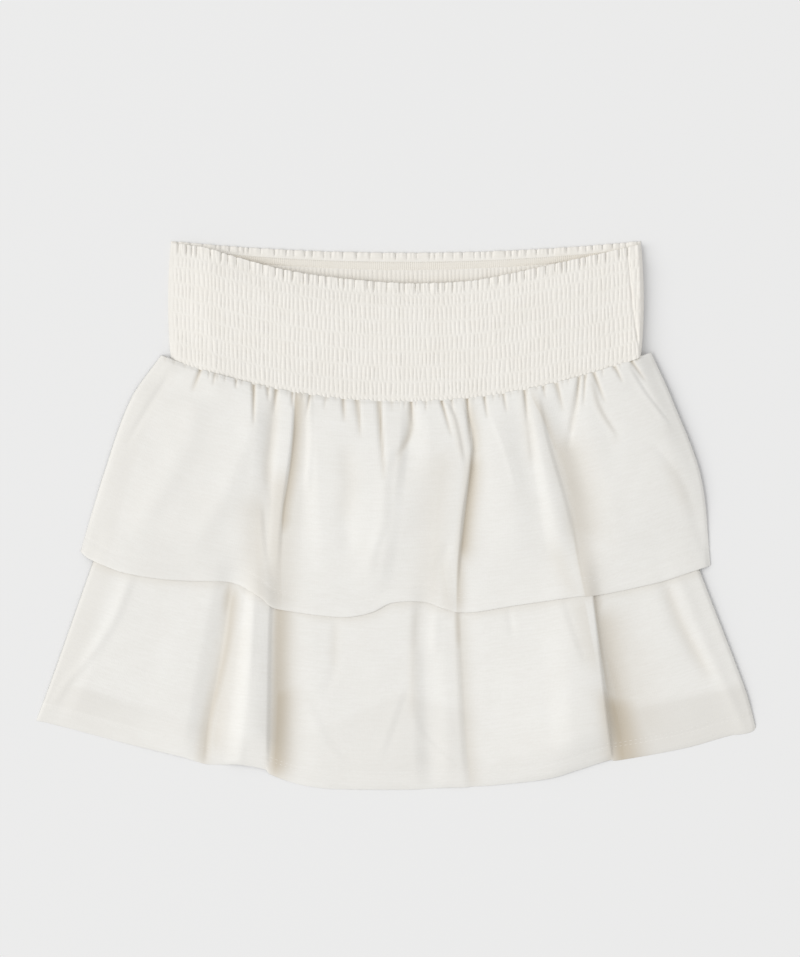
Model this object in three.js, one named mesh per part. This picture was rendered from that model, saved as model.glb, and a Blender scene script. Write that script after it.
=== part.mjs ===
// A child's two-tier skort with a smocked waistband, lying on its back on a flat surface. Millimetres. +X
// runs across the garment to the right as it is seen from above, +Y towards the waist and +Z up, out of the
// surface. The origin is on the surface, under the middle of the garment.
import * as THREE from "three";

// ---- Driving sizes ----

const WAIST_X = 5.5; // the waistband sits a little to the right of the hem's middle
const WAIST_HALF = 129.8; // half the waistband's width, laid flat
const BAND_BULGE = 1.5; // how much wider it is half-way down
const BAND_DEEP = 62.6; // from the edge of its frill to the seam that carries the tiers
const SEAM_X = 3.5; // middle of that seam
const SEAM_LOW_Y = 63.5;
const SEAM_SAG = 24; // how far its middle dips below its two ends
const HALF_LENGTH = 151.5; // half of the whole garment, from the back's top edge to the hem
const BACK_TOP_SAG = 6.5;
const GAP = 0.3; // between pieces at a seam
const CLOTH = 1.2; // wall of the tiers
const HEM_EXTRA = 0.5; // the hem is turned up, so it is thicker
const HEM_DEEP = 10; // depth of the turned hem
const SHORTS_CLOTH = 1.0;
const BAND_WALL = 2.4; // shirred cloth and elastic, without the ribs
const RIB_HIGH = 0.75;

// Heights of the layers above the surface. From the surface up they are the back tiers, the two layers of
// the shorts, and then the front tiers, which have their heights in the tables below.
const BACK_LOWER_Z = CLOTH + GAP;
const SHORTS_BACK_Z = BACK_LOWER_Z + CLOTH + GAP;
const SHORTS_FRONT_Z = SHORTS_BACK_Z + SHORTS_CLOTH + GAP;
const SEAM_LOWER_Z = SHORTS_FRONT_Z + SHORTS_CLOTH + GAP + CLOTH / 2; // middle of the front lower tier's wall
const SEAM_UPPER_Z = SEAM_LOWER_Z + CLOTH + 3 * GAP; // and the upper tier's, with room for its gathers
const EDGE_Z = 2.1; // where a front tier's side comes down onto the back
const TUCKED_Z = 3.9; // and the lower tier's side inside the upper tier, where two back layers lie

// ---- Curves ----

const mix = (a, b, t) => a + (b - a) * t;
const clamp01 = (t) => Math.min(1, Math.max(0, t));
const smooth = (t) => clamp01(t) ** 2 * (3 - 2 * clamp01(t));
const range = (count) => Array.from({ length: count }, (_, i) => i);

// Slope of a curve through (at, values) at point k: the chord over its two neighbours.
function chordSlope(at, values, k) {
  const before = Math.max(k - 1, 0);
  const after = Math.min(k + 1, at.length - 1);
  return (values[after] - values[before]) / (at[after] - at[before]);
}

// The same, but level at a crest or in a valley, so that the curve never runs past them.
function levelSlope(at, values, k) {
  if (k === 0 || k === at.length - 1) return chordSlope(at, values, k);
  const left = (values[k] - values[k - 1]) / (at[k] - at[k - 1]);
  const right = (values[k + 1] - values[k]) / (at[k + 1] - at[k]);
  return left * right <= 0 ? 0 : (2 * left * right) / (left + right);
}

// A smooth curve through the points: a cubic over the span that holds t, with the slopes given above at its
// ends.
function through(at, values, t, slopeAt = chordSlope) {
  let k = 0;
  while (k < at.length - 2 && t > at[k + 1]) k++;
  const span = at[k + 1] - at[k];
  const s = (t - at[k]) / span;
  const s2 = s * s;
  const s3 = s2 * s;
  return (
    (2 * s3 - 3 * s2 + 1) * values[k] +
    (s3 - 2 * s2 + s) * span * slopeAt(at, values, k) +
    (3 * s2 - 2 * s3) * values[k + 1] +
    (s3 - s2) * span * slopeAt(at, values, k + 1)
  );
}

// The seam between waistband and tiers dips in the middle like a parabola.
const seamY = (x) => SEAM_LOW_Y + SEAM_SAG * ((x - SEAM_X) / WAIST_HALF) ** 2;

// ---- Solids ----

// A closed solid between two grids of points, both seen from above with their first row towards the waist
// and their first column on the left. The grids may differ in fineness: their rims are joined by a zigzag
// of triangles.
function solid(name, colour, upperGrid, lowerGrid) {
  const positions = [];
  const faces = [];
  const number = (grid) =>
    grid.map((row) => row.map((p) => positions.push(p.x, p.y, p.z) / 3 - 1));
  const above = number(upperGrid);
  const below = number(lowerGrid);

  const cover = (ids, facesUp) => {
    for (let r = 0; r < ids.length - 1; r++)
      for (let c = 0; c < ids[0].length - 1; c++) {
        const [a, b, d, e] = [ids[r][c], ids[r + 1][c], ids[r + 1][c + 1], ids[r][c + 1]];
        if (facesUp) faces.push(a, b, d, a, d, e);
        else faces.push(a, d, b, a, e, d);
      }
  };
  const zigzag = (top, bottom) => {
    let i = 0;
    let j = 0;
    while (i < top.length - 1 || j < bottom.length - 1) {
      if ((i + 1) / (top.length - 1) <= (j + 1) / (bottom.length - 1)) {
        faces.push(top[i], bottom[j], top[i + 1]);
        i++;
      } else {
        faces.push(top[i], bottom[j], bottom[j + 1]);
        j++;
      }
    }
  };
  const rim = (ids) => {
    const last = ids.length - 1;
    return [
      ids.map((row) => row[0]), // down the left side
      ids[last], // along the hem
      ids.map((row) => row.at(-1)).reverse(), // up the right side
      [...ids[0]].reverse(), // and back along the top
    ];
  };

  cover(above, true);
  cover(below, false);
  const [upperRim, lowerRim] = [rim(above), rim(below)];
  upperRim.forEach((side, k) => zigzag(side, lowerRim[k]));

  const geometry = new THREE.BufferGeometry();
  geometry.setAttribute("position", new THREE.Float32BufferAttribute(positions, 3));
  geometry.setIndex(faces);
  geometry.computeVertexNormals();
  const material = new THREE.MeshStandardMaterial({ color: colour, roughness: 0.85, metalness: 0 });
  const mesh = new THREE.Mesh(geometry, material);
  mesh.name = name;
  return mesh;
}

const gridOf = (rows, columns, point) => rows.map((v) => columns.map((u) => point(u, v)));
const steps = (count) => range(count + 1).map((i) => i / count);

// A wall of cloth: the middle surface point(u, v), with half its thickness laid on along the normal on each
// side.
function clothWall(name, colour, point, columns, rows, thickness) {
  const tiny = 1e-4;
  const moved = (side) => (u, v) => {
    const [u0, u1] = [Math.max(u - tiny, 0), Math.min(u + tiny, 1)];
    const [v0, v1] = [Math.max(v - tiny, 0), Math.min(v + tiny, 1)];
    const across = point(u1, v).sub(point(u0, v));
    const down = point(u, v1).sub(point(u, v0));
    const normal = down.cross(across).normalize();
    return point(u, v).addScaledVector(normal, (side * thickness(v)) / 2);
  };
  return solid(name, colour, gridOf(rows, columns, moved(1)), gridOf(rows, columns, moved(-1)));
}

// A level sheet: the underside point(u, v) and the same points raised by the thickness.
function slab(name, colour, point, columns, rows, thick) {
  const raised = (u, v) => point(u, v).add(new THREE.Vector3(0, 0, thick));
  return solid(name, colour, gridOf(rows, columns, raised), gridOf(rows, columns, point));
}

// ---- Waistband ----

const OFF_WHITE = 0xefece4;
const INSIDE_WHITE = 0xece4d6;
const RIBS = 108; // gathers across the front
const FRILL_WAVES = 42; // waves of the loose edge above the first row of elastic
const FRILL_DEEP = 6.6;
const FIRST_CELL = 5.8; // between the first two rows of elastic
const CELL = 7.95; // between the others
const ELASTIC_ROWS = [FRILL_DEEP, ...range(7).map((i) => FRILL_DEEP + FIRST_CELL + i * CELL)];
const BAND_LIFT = 2.0; // hollow between front and back at the middle
const SIDE_ROUND = 5; // over this width its two layers thin out towards their folded sides
const SIDE_WALL = 1.2;

const bandX = (u, deep) => {
  const bulge = 1 - (2 * (deep / BAND_DEEP) - 1) ** 2;
  return WAIST_X + (2 * u - 1) * (WAIST_HALF + BAND_BULGE * bulge);
};
const fromSide = (u) => clamp01(((1 - Math.abs(2 * u - 1)) * WAIST_HALF) / SIDE_ROUND);

// Height of the smocked ribs: full half-way between two rows of elastic and pinched on the rows.
function ribHeight(u, deep) {
  const pinched = ELASTIC_ROWS.includes(deep);
  const crest = 0.5 - 0.5 * Math.cos(2 * Math.PI * RIBS * u);
  return RIB_HIGH * (pinched ? 0.35 * crest - 0.4 : crest);
}

// The frill stands in waves that grow towards its edge.
function frillWave(u, deep, phase) {
  const uneven = 0.75 + 0.25 * Math.sin(2 * Math.PI * (5 * u + phase));
  return uneven * clamp01(1 - deep / FRILL_DEEP) * Math.sin(2 * Math.PI * (FRILL_WAVES * u + phase));
}

// The front's top edge runs smoothly through these places and dips deepest a little right of the middle.
const FRONT_TOP = [
  { x: -124.3, y: 150.6 },
  { x: -105, y: 147.6 },
  { x: -90, y: 143 },
  { x: -61, y: 135.3 },
  { x: -33, y: 131 },
  { x: -5, y: 128.4 },
  { x: 16, y: 127.9 },
  { x: 41, y: 129.3 },
  { x: 61, y: 132.8 },
  { x: 85, y: 138.2 },
  { x: 107, y: 143 },
  { x: 126, y: 147.4 },
  { x: 135.3, y: 149.6 },
];
const FRONT_TOP_X = FRONT_TOP.map((place) => place.x);
const FRONT_TOP_Y = FRONT_TOP.map((place) => place.y);
const frontTopY = (x) => through(FRONT_TOP_X, FRONT_TOP_Y, x);

function frontBandPoint(u, deep, z) {
  const x = bandX(u, deep);
  const [top, bottom] = [frontTopY(bandX(u, 0)), seamY(bandX(u, BAND_DEEP))];
  return new THREE.Vector3(x, mix(top, bottom, deep / BAND_DEEP), z);
}

function waistbandFront() {
  const between = ELASTIC_ROWS.slice(1).map((row, i) => (row + ELASTIC_ROWS[i]) / 2);
  const deeps = [0, ...ELASTIC_ROWS, ...between, BAND_DEEP - GAP].sort((a, b) => a - b);
  const floorZ = (u) => BAND_WALL + GAP + BAND_LIFT * Math.sqrt(smooth(3 * Math.min(u, 1 - u)));
  const outside = (u, deep) => {
    const wall = mix(SIDE_WALL, BAND_WALL, fromSide(u));
    const relief = fromSide(u) * (ribHeight(u, deep) + frillWave(u, deep, 0));
    return frontBandPoint(u, deep, floorZ(u) + wall + relief);
  };
  const inside = (u, deep) => {
    const frill = fromSide(u) * Math.min(0, frillWave(u, deep, 0));
    return frontBandPoint(u, deep, floorZ(u) + 0.4 * fromSide(u) + 0.8 * frill);
  };
  return solid(
    "waistband_front",
    OFF_WHITE,
    gridOf(deeps, steps(2 * RIBS), outside),
    gridOf([0, FRILL_DEEP, BAND_DEEP - GAP], steps(2 * FRILL_WAVES), inside),
  );
}

// The back lies on its outer face, which is flat. Its frill and a strip of ribs show above the front's
// edge, and the ribs fade out below, under the front.
const BACK_FRILL = 4.6;
const TAPE_WIDE = 4.4;
const TAPE_THICK = 0.5;
const BACK_WALL = BAND_WALL - 0.5;
const BACK_RIB_HIGH = 0.6 * RIB_HIGH;

const backTopY = (u) => HALF_LENGTH - BACK_TOP_SAG * (1 - (2 * u - 1) ** 2);
const backBandY = (u, deep) => mix(backTopY(u), seamY(bandX(u, BAND_DEEP)) + GAP, deep / BAND_DEEP);

function waistbandBack() {
  const ribRow = BACK_FRILL + TAPE_WIDE;
  const inside = (u, deep) => {
    const wave = deep === 0 ? Math.abs(frillWave(u, 0, 0.25)) : 0;
    const rib = deep === ribRow ? 0.5 - 0.5 * Math.cos(2 * Math.PI * RIBS * u) : 0;
    const z = BACK_WALL + fromSide(u) * (wave + BACK_RIB_HIGH * rib);
    return new THREE.Vector3(bandX(u, deep), backBandY(u, deep), z);
  };
  const outside = (u, deep) => new THREE.Vector3(bandX(u, deep), backBandY(u, deep), 0);
  return solid(
    "waistband_back",
    OFF_WHITE,
    gridOf([0, BACK_FRILL, ribRow, BAND_DEEP], steps(2 * RIBS), inside),
    gridOf([0, BAND_DEEP / 2, BAND_DEEP], steps(24), outside),
  );
}

// A flat elastic tape is stitched round the inside under the frill. It shows on the back.
function waistTape() {
  const point = (u, v) => {
    const along = mix(0.04, 0.96, u);
    const deep = BACK_FRILL + v * TAPE_WIDE;
    const z = BACK_WALL + BACK_RIB_HIGH + GAP;
    return new THREE.Vector3(bandX(along, deep), backBandY(along, deep), z);
  };
  return slab("waist_tape_back", INSIDE_WHITE, point, steps(16), [0, 1], TAPE_THICK);
}

// ---- Front tiers ----

// Each row is one line of the cloth from the seam down to the hem: the crest of a fold, the bottom of the
// valley beside it, or a side of the panel. x is its place across the garment, z the height of the wall's
// middle and hemY where it ends. Where a valley lies right beside a crest, the fold has a sheer edge. The
// upper tier's stations are the seam, 22% and 58% of the way down, and the hem.
const UPPER_STATIONS = [0, 0.22, 0.58, 1];
const UPPER_LINES = [
  // left side
  { x: [-129.8, -146.3, -160.6, -174.4], z: [EDGE_Z, EDGE_Z, EDGE_Z], hemY: -20.1 },
  { x: [-127.0, -143.6, -157.3, -170.5], z: [10.0, 10.0, 9.5], hemY: -23.4 },
  { x: [-119.9, -135.3, -151.3, -160.6], z: [9.6, 9.5, 9.3], hemY: -27.8 },
  { x: [-106.2, -114.4, -131.5, -149.6], z: [12.8, 12.0, 10.5], hemY: -31.6 },
  { x: [-95.7, -101.2, -114.4, -129.8], z: [10.8, 10.3, 9.6], hemY: -34.9 },
  { x: [-82.5, -83.6, -92.4, -113.3], z: [13.5, 13.0, 11.5], hemY: -36.0 },
  { x: [-77.0, -77.0, -81.4, -90.2], z: [12.0, 11.0, 11.0], hemY: -37.1 },
  // narrow fold left of the middle
  { x: [-70.4, -71.0, -71.0, -75.9], z: [8.6, 9.2, 10.5], hemY: -44.8 },
  { x: [-63.3, -61.1, -66.0, -70.4], z: [14.0, 13.0, 11.5], hemY: -49.2 },
  { x: [-55.6, -55.0, -60.0, -66.0], z: [8.4, 8.4, 8.8], hemY: -51.4 },
  { x: [-50.6, -50.1, -51.2, -56.1], z: [10.0, 9.0, 8.9], hemY: -53.1 },
  { x: [-42.9, -42.9, -40.7, -37.4], z: [13.0, 12.5, 11.5], hemY: -55.5 },
  { x: [-28.1, -27.0, -27.0, -25.3], z: [12.0, 11.8, 11.3], hemY: -55.8 },
  // broad fold at the middle
  { x: [2.2, 1.1, -4.4, -12.7], z: [15.0, 16.0, 15.0], hemY: -53.1 },
  { x: [8.3, 7.7, 3.3, -2.2], z: [10.0, 14.5, 13.5], hemY: -48.1 },
  { x: [17.6, 19.8, 18.7, 15.4], z: [13.5, 13.0, 12.5], hemY: -47.6 },
  { x: [30.8, 35.2, 34.7, 31.4], z: [12.5, 12.5, 13.0], hemY: -52.5 },
  { x: [35.8, 40.7, 39.6, 34.1], z: [8.6, 8.4, 9.6], hemY: -53.6 },
  { x: [39.6, 45.1, 47.3, 44.0], z: [11.0, 10.5, 10.5], hemY: -53.1 },
  { x: [53.4, 57.2, 64.9, 63.8], z: [13.5, 13.0, 12.0], hemY: -49.8 },
  { x: [70.4, 74.3, 82.5, 90.2], z: [11.0, 11.2, 11.0], hemY: -45.9 },
  // deep fold right of the middle
  { x: [79.2, 85.3, 93.5, 104.0], z: [14.0, 14.5, 12.5], hemY: -44.3 },
  { x: [85.8, 91.9, 96.8, 107.8], z: [8.8, 8.8, 10.9], hemY: -44.3 },
  { x: [93.5, 97.9, 106.7, 112.2], z: [9.5, 8.8, 10.6], hemY: -43.7 },
  { x: [103.4, 106.7, 118.8, 124.3], z: [13.0, 12.0, 11.0], hemY: -41.5 },
  { x: [112.2, 115.5, 127.6, 134.2], z: [12.0, 11.6, 10.8], hemY: -39.3 },
  { x: [121.0, 127.6, 142.5, 149.6], z: [13.0, 12.5, 11.5], hemY: -35.5 },
  { x: [129.8, 142.5, 156.2, 164.5], z: [10.5, 10.2, 10.2], hemY: -31.1 },
  // right side
  { x: [138.6, 149.6, 165.6, 171.6], z: [11.0, 11.0, 10.0], hemY: -28.9 },
  { x: [140.8, 152.4, 168.3, 173.8], z: [EDGE_Z, EDGE_Z, EDGE_Z], hemY: -27.8 },
];

// The lower tier runs flat under the upper one. Its stations are where it comes out, half-way down what
// shows, and the hem, and above the first of them its lines close up evenly towards the seam.
const LOWER_STATIONS = [0, 0.42, 0.52, 0.9, 1];
const LOWER_LINES = [
  // left side
  { x: [-164.5, -191.3, -198.9], z: [TUCKED_Z, 2.8, EDGE_Z], hemY: -113.6 },
  { x: [-161.7, -188.0, -195.2], z: [7.0, 7.2, 6.0], hemY: -114.2 },
  { x: [-149.6, -181.1, -190.3], z: [6.7, 7.0, 4.5], hemY: -115.3 },
  { x: [-139.7, -171.8, -181.5], z: [7.6, 9.2, 5.5], hemY: -117.5 },
  { x: [-113.3, -138.6, -146.3], z: [6.9, 7.8, 5.0], hemY: -126.8 },
  { x: [-91.9, -110.2, -115.0], z: [7.7, 10.0, 7.5], hemY: -135.1 },
  { x: [-86.4, -99.0, -101.2], z: [6.7, 7.0, 3.5], hemY: -137.8 },
  { x: [-73.7, -82.0, -84.2], z: [7.9, 12.5, 11.0], hemY: -137.8 },
  // a fold with a sheer edge left of the middle
  { x: [-69.8, -71.6, -72.2], z: [7.9, 12.5, 11.0], hemY: -140.5 },
  { x: [-67.4, -70.4, -71.0], z: [6.7, 7.0, 3.2], hemY: -143.0 },
  { x: [-58.3, -58.3, -58.3], z: [6.7, 7.0, 3.4], hemY: -147.7 },
  { x: [-48.4, -47.1, -46.2], z: [7.3, 8.6, 6.2], hemY: -150.4 },
  { x: [-17.1, -27.0, -28.1], z: [7.6, 9.0, 6.4], hemY: -151.5 },
  { x: [7.2, 9.3, 9.9], z: [7.8, 9.2, 6.6], hemY: -151.5 },
  { x: [15.4, 18.0, 19.8], z: [6.7, 7.4, 6.0], hemY: -151.0 },
  { x: [27.5, 29.7, 30.8], z: [7.9, 9.8, 7.5], hemY: -150.4 },
  { x: [33.0, 35.0, 35.2], z: [7.8, 9.4, 7.4], hemY: -150.4 },
  { x: [35.8, 41.6, 42.9], z: [6.7, 7.0, 5.0], hemY: -149.9 },
  { x: [47.3, 51.5, 52.8], z: [7.6, 9.2, 7.4], hemY: -149.3 },
  { x: [76.5, 83.6, 84.7], z: [7.9, 10.2, 9.0], hemY: -145.5 },
  // and one right of the middle
  { x: [106.4, 115.7, 118.9], z: [7.6, 12.5, 12.0], hemY: -135.0 },
  { x: [108.8, 116.9, 120.1], z: [6.7, 7.0, 3.0], hemY: -135.6 },
  { x: [118.8, 128.9, 130.9], z: [6.7, 7.0, 3.0], hemY: -133.9 },
  { x: [138.6, 158.8, 165.0], z: [7.2, 8.8, 5.6], hemY: -127.9 },
  { x: [145.2, 175.5, 185.4], z: [6.7, 7.2, 4.4], hemY: -121.8 },
  { x: [152.4, 183.1, 192.5], z: [7.6, 9.6, 8.0], hemY: -120.7 },
  // right side
  { x: [161.0, 190.6, 196.9], z: [7.4, 8.6, 7.0], hemY: -118.0 },
  { x: [163.5, 193.2, 198.9], z: [TUCKED_Z, 2.8, EDGE_Z], hemY: -115.8 },
];

// Short puckers where the cloth is gathered into the seam: where each starts, how far down it reaches, how
// deep and how wide it is, and how far it drifts sideways on its way down.
const PUCKERS = [
  { x: -107.8, reach: 14, deep: 1.6, wide: 1.6, drift: -3 },
  { x: -98.5, reach: 8, deep: 1.2, wide: 1.4, drift: -1 },
  { x: -78.5, reach: 18, deep: 2.0, wide: 1.8, drift: 2 },
  { x: -46.5, reach: 12, deep: 1.5, wide: 1.5, drift: -2 },
  { x: -29.2, reach: 13, deep: 2.0, wide: 1.5, drift: 1 },
  { x: -23.5, reach: 30, deep: 3.0, wide: 1.9, drift: 3 },
  { x: -12.0, reach: 42, deep: 2.8, wide: 1.8, drift: 3 },
  { x: 16.5, reach: 8, deep: 1.4, wide: 1.4, drift: 0 },
  { x: 25.0, reach: 22, deep: 1.8, wide: 1.5, drift: 6 },
  { x: 47.0, reach: 14, deep: 2.0, wide: 1.5, drift: 1 },
  { x: 58.3, reach: 9, deep: 1.4, wide: 1.4, drift: 0 },
  { x: 99.0, reach: 16, deep: 1.8, wide: 1.6, drift: 2 },
  { x: 112.5, reach: 16, deep: 1.6, wide: 1.6, drift: 5 },
  { x: 122.5, reach: 20, deep: 1.4, wide: 1.5, drift: 12 },
];

function puckerDepth(x, fromSeam) {
  return PUCKERS.reduce((sum, p) => {
    const along = fromSeam / p.reach;
    if (along >= 1) return sum;
    const off = (x - p.x - p.drift * along) / p.wide;
    return sum + p.deep * (1 - along) * Math.exp(-off * off) * smooth(0.25 + 4 * along);
  }, 0);
}

// The middle of a tier's wall. u runs along the lines of the table, v from the seam down to the hem.
function tierSurface(lines, stations, relief) {
  const last = lines.length - 1;
  return (u, v) => {
    const xs = lines.map((line) => through(stations, line.x, v));
    const zs = lines.map((line) => through(stations, line.z, v, levelSlope));
    const ys = lines.map((line) => mix(seamY(line.x[0]) - GAP, line.hemY, v));
    const along = [0];
    for (let k = 1; k <= last; k++)
      along.push(along[k - 1] + Math.hypot(xs[k] - xs[k - 1], 0.7 * (zs[k] - zs[k - 1])));
    const k = Math.min(Math.floor(u * last), last - 1);
    const t = mix(along[k], along[k + 1], u * last - k);
    const x = through(along, xs, t);
    const y = through(along, ys, t);
    const z = through(along, zs, t, levelSlope);
    return new THREE.Vector3(x, y, z - relief(x, y, u));
  };
}

// Columns of the wall's grid: a few to each span between two lines, and more where the span is wide.
function columnsFor(lines, finest) {
  const last = lines.length - 1;
  const list = [0];
  for (let k = 0; k < last; k++) {
    const wide = Math.abs(lines[k + 1].x.at(-1) - lines[k].x.at(-1));
    const parts = Math.max(2, Math.min(4, Math.round(wide / finest)));
    for (let i = 1; i <= parts; i++) list.push((k + i / parts) / last);
  }
  return list;
}

// The wall is thicker over the turned hem; deep is the whole tier from seam to hem.
const hemmed = (deep) => (v) => CLOTH + (v > 1 - HEM_DEEP / deep ? HEM_EXTRA : 0);

const upperLines = UPPER_LINES.map((line, k) => {
  const atSide = k === 0 || k === UPPER_LINES.length - 1;
  return { ...line, z: [atSide ? EDGE_Z : SEAM_UPPER_Z, ...line.z] };
});

const lowerLines = LOWER_LINES.map((line) => {
  const [first, last] = [LOWER_LINES[0].x[0], LOWER_LINES.at(-1).x[0]];
  const share = (line.x[0] - first) / (last - first);
  const seamX = WAIST_X + (2 * share - 1) * (WAIST_HALF - 1);
  const flat = share === 0 || share === 1 ? TUCKED_Z : SEAM_LOWER_Z;
  return {
    x: [seamX, mix(seamX, line.x[0], 0.82), ...line.x],
    z: [flat, flat, ...line.z],
    hemY: line.hemY,
  };
});

function upperTierFront() {
  const deep = 115;
  const awayFromSides = (u) => smooth(12 * Math.min(u, 1 - u));
  const relief = (x, y, u) => 0.8 * awayFromSides(u) * puckerDepth(x, seamY(x) - y);
  const surface = tierSurface(upperLines, UPPER_STATIONS, relief);
  const rows = [0, 0.035, 0.09, 0.17, 0.28, 0.42, 0.58, 0.76, 0.905, 0.915, 1];
  const columns = columnsFor(upperLines, 5);
  return clothWall("upper_tier_front", OFF_WHITE, surface, columns, rows, hemmed(deep));
}

function lowerTierFront() {
  const deep = 210;
  const surface = tierSurface(lowerLines, LOWER_STATIONS, () => 0);
  const rows = [0, 0.22, 0.42, 0.52, 0.62, 0.76, 0.9, 0.95, 0.955, 1];
  const columns = columnsFor(lowerLines, 9);
  return clothWall("lower_tier_front", OFF_WHITE, surface, columns, rows, hemmed(deep));
}

// ---- Back tiers, laid flat ----

const BACK_INSET = 0.8; // they end just inside the front's outline
const backUpperHemY = (x) => -43 + 25 * (Math.abs(x) / 174) ** 1.8;
const backLowerHemY = (x) => -145.5 + 35.5 * (Math.abs(x) / 198) ** 1.6;

// A point of a back tier's underside. rowY(topY, x, v) is where row v lies at x, below the seam at topY.
// The sheet's sides follow those of the front tier above it.
function backTierPoint(lines, stations, rowY, u, v) {
  const sides = [lines[0], lines.at(-1)];
  const [left, right] = sides.map((line, end) => {
    const topY = seamY(line.x[0]) - GAP;
    const down = clamp01((topY - rowY(topY, line.x.at(-1), v)) / (topY - line.hemY));
    return through(stations, line.x, down) + (end === 0 ? BACK_INSET : -BACK_INSET);
  });
  const x = mix(left, right, u);
  const topX = mix(lines[0].x[0] + BACK_INSET, lines.at(-1).x[0] - BACK_INSET, u);
  return new THREE.Vector3(x, rowY(seamY(topX) - GAP, x, v), 0);
}

function upperTierBack() {
  const rowY = (topY, x, v) => mix(topY, backUpperHemY(x), v);
  const point = (u, v) => backTierPoint(upperLines, UPPER_STATIONS, rowY, u, v);
  return slab("upper_tier_back", OFF_WHITE, point, steps(14), steps(4), CLOTH);
}

// The back lower tier lies on the back upper tier and comes down to the surface below that tier's hem.
function lowerTierBack() {
  const onTier = 0.5; // rows up to this one lie on the upper tier
  const stepped = 0.56; // and from this one on, on the surface
  const rowY = (topY, x, v) => {
    const hemAbove = backUpperHemY(x);
    if (v <= onTier) return mix(topY, hemAbove - GAP, v / onTier);
    return mix(hemAbove - 5, backLowerHemY(x), (v - stepped) / (1 - stepped));
  };
  const point = (u, v) => {
    const p = backTierPoint(lowerLines, LOWER_STATIONS, rowY, u, v);
    return p.setZ(v <= onTier ? BACK_LOWER_Z : 0);
  };
  const rows = [0, 0.25, onTier, stepped, 0.78, 1];
  return slab("lower_tier_back", OFF_WHITE, point, steps(16), rows, CLOTH);
}

// ---- Shorts ----

// Two legs, each with a front and a back, joined at the middle down to the crotch.
const SHORTS_HALF = 123; // at the waist
const CROTCH_X = 6.6;
const CROTCH_Y = -46;
const SHORTS_SAG = 5.8; // dip of each panel's waist edge
const LEGS = [
  { side: "left", sign: -1, outerHem: [-172, -92], innerHem: [-21, -124] },
  { side: "right", sign: 1, outerHem: [168, -94], innerHem: [30, -122] },
];

function shortsPanel(leg, layer, lowZ) {
  const waistOuter = WAIST_X + leg.sign * SHORTS_HALF;
  const waistInner = CROTCH_X + (leg.sign * GAP) / 2;
  const crotchAt = (SEAM_LOW_Y - CROTCH_Y) / (SEAM_LOW_Y - leg.innerHem[1]);
  const point = (u, v) => {
    const outerX = mix(waistOuter, leg.outerHem[0], v);
    const outerY = mix(seamY(waistOuter) - GAP, leg.outerHem[1], v);
    const fork = clamp01((v - crotchAt) / (1 - crotchAt));
    const innerX = mix(waistInner, leg.innerHem[0], fork);
    const innerY = mix(seamY(waistInner) - GAP, leg.innerHem[1], v);
    const share = leg.sign < 0 ? u : 1 - u;
    const sag = 4 * share * (1 - share) * mix(SHORTS_SAG, 2, v);
    return new THREE.Vector3(mix(outerX, innerX, share), mix(outerY, innerY, share) - sag, lowZ);
  };
  const rows = [0, crotchAt / 2, crotchAt, (crotchAt + 1) / 2, 1];
  return slab(`shorts_${layer}_${leg.side}`, OFF_WHITE, point, steps(6), rows, SHORTS_CLOTH);
}

// ---- Assembly ----

const skort = new THREE.Group();
skort.add(waistbandFront(), waistbandBack(), waistTape());
skort.add(upperTierFront(), upperTierBack());
skort.add(lowerTierFront(), lowerTierBack());
for (const leg of LEGS) {
  skort.add(shortsPanel(leg, "back", SHORTS_BACK_Z));
  skort.add(shortsPanel(leg, "front", SHORTS_FRONT_Z));
}

export default skort;
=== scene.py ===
"""A child's two-tier skort of off-white slub jersey, lying flat on its back.

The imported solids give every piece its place, and the script dresses each of them in cloth. Tables of sizes
are in millimetres and become metres as a surface is made.
"""
import math

import bpy
import numpy as np
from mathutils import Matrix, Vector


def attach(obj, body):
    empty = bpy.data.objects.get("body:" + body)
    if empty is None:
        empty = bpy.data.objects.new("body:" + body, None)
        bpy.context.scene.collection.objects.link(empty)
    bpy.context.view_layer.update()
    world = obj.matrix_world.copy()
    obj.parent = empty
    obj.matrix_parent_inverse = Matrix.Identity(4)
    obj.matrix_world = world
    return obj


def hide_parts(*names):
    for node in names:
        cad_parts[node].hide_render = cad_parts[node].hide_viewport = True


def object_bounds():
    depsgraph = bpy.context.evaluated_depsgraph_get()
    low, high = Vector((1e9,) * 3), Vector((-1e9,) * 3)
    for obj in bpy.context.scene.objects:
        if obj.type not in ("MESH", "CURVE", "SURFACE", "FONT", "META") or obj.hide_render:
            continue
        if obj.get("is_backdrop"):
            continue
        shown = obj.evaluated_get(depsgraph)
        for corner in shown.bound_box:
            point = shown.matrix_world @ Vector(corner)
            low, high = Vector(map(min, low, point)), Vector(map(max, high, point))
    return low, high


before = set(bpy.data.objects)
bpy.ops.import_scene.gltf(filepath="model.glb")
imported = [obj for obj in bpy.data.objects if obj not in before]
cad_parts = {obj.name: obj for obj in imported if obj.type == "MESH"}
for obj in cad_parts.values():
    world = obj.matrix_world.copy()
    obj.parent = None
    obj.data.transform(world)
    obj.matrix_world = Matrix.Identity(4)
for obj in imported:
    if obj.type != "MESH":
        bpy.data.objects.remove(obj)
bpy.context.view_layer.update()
MM = 0.001

# ---- Camera ----
# A flat lay is looked at from straight above, from far enough that its edges don't lean. The lens is set by
# how much the view's long side takes in.

CAMERA_HIGH = 1.6
CAMERA_CENTRE = (0.0022, 0.0204)
CAMERA_REACH = 20.0
VIEW_LONG = 0.5264  # what the view's long side takes in, at the height of the cloth
CLOTH_HIGH = 0.008
SENSOR = 36.0

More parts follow.
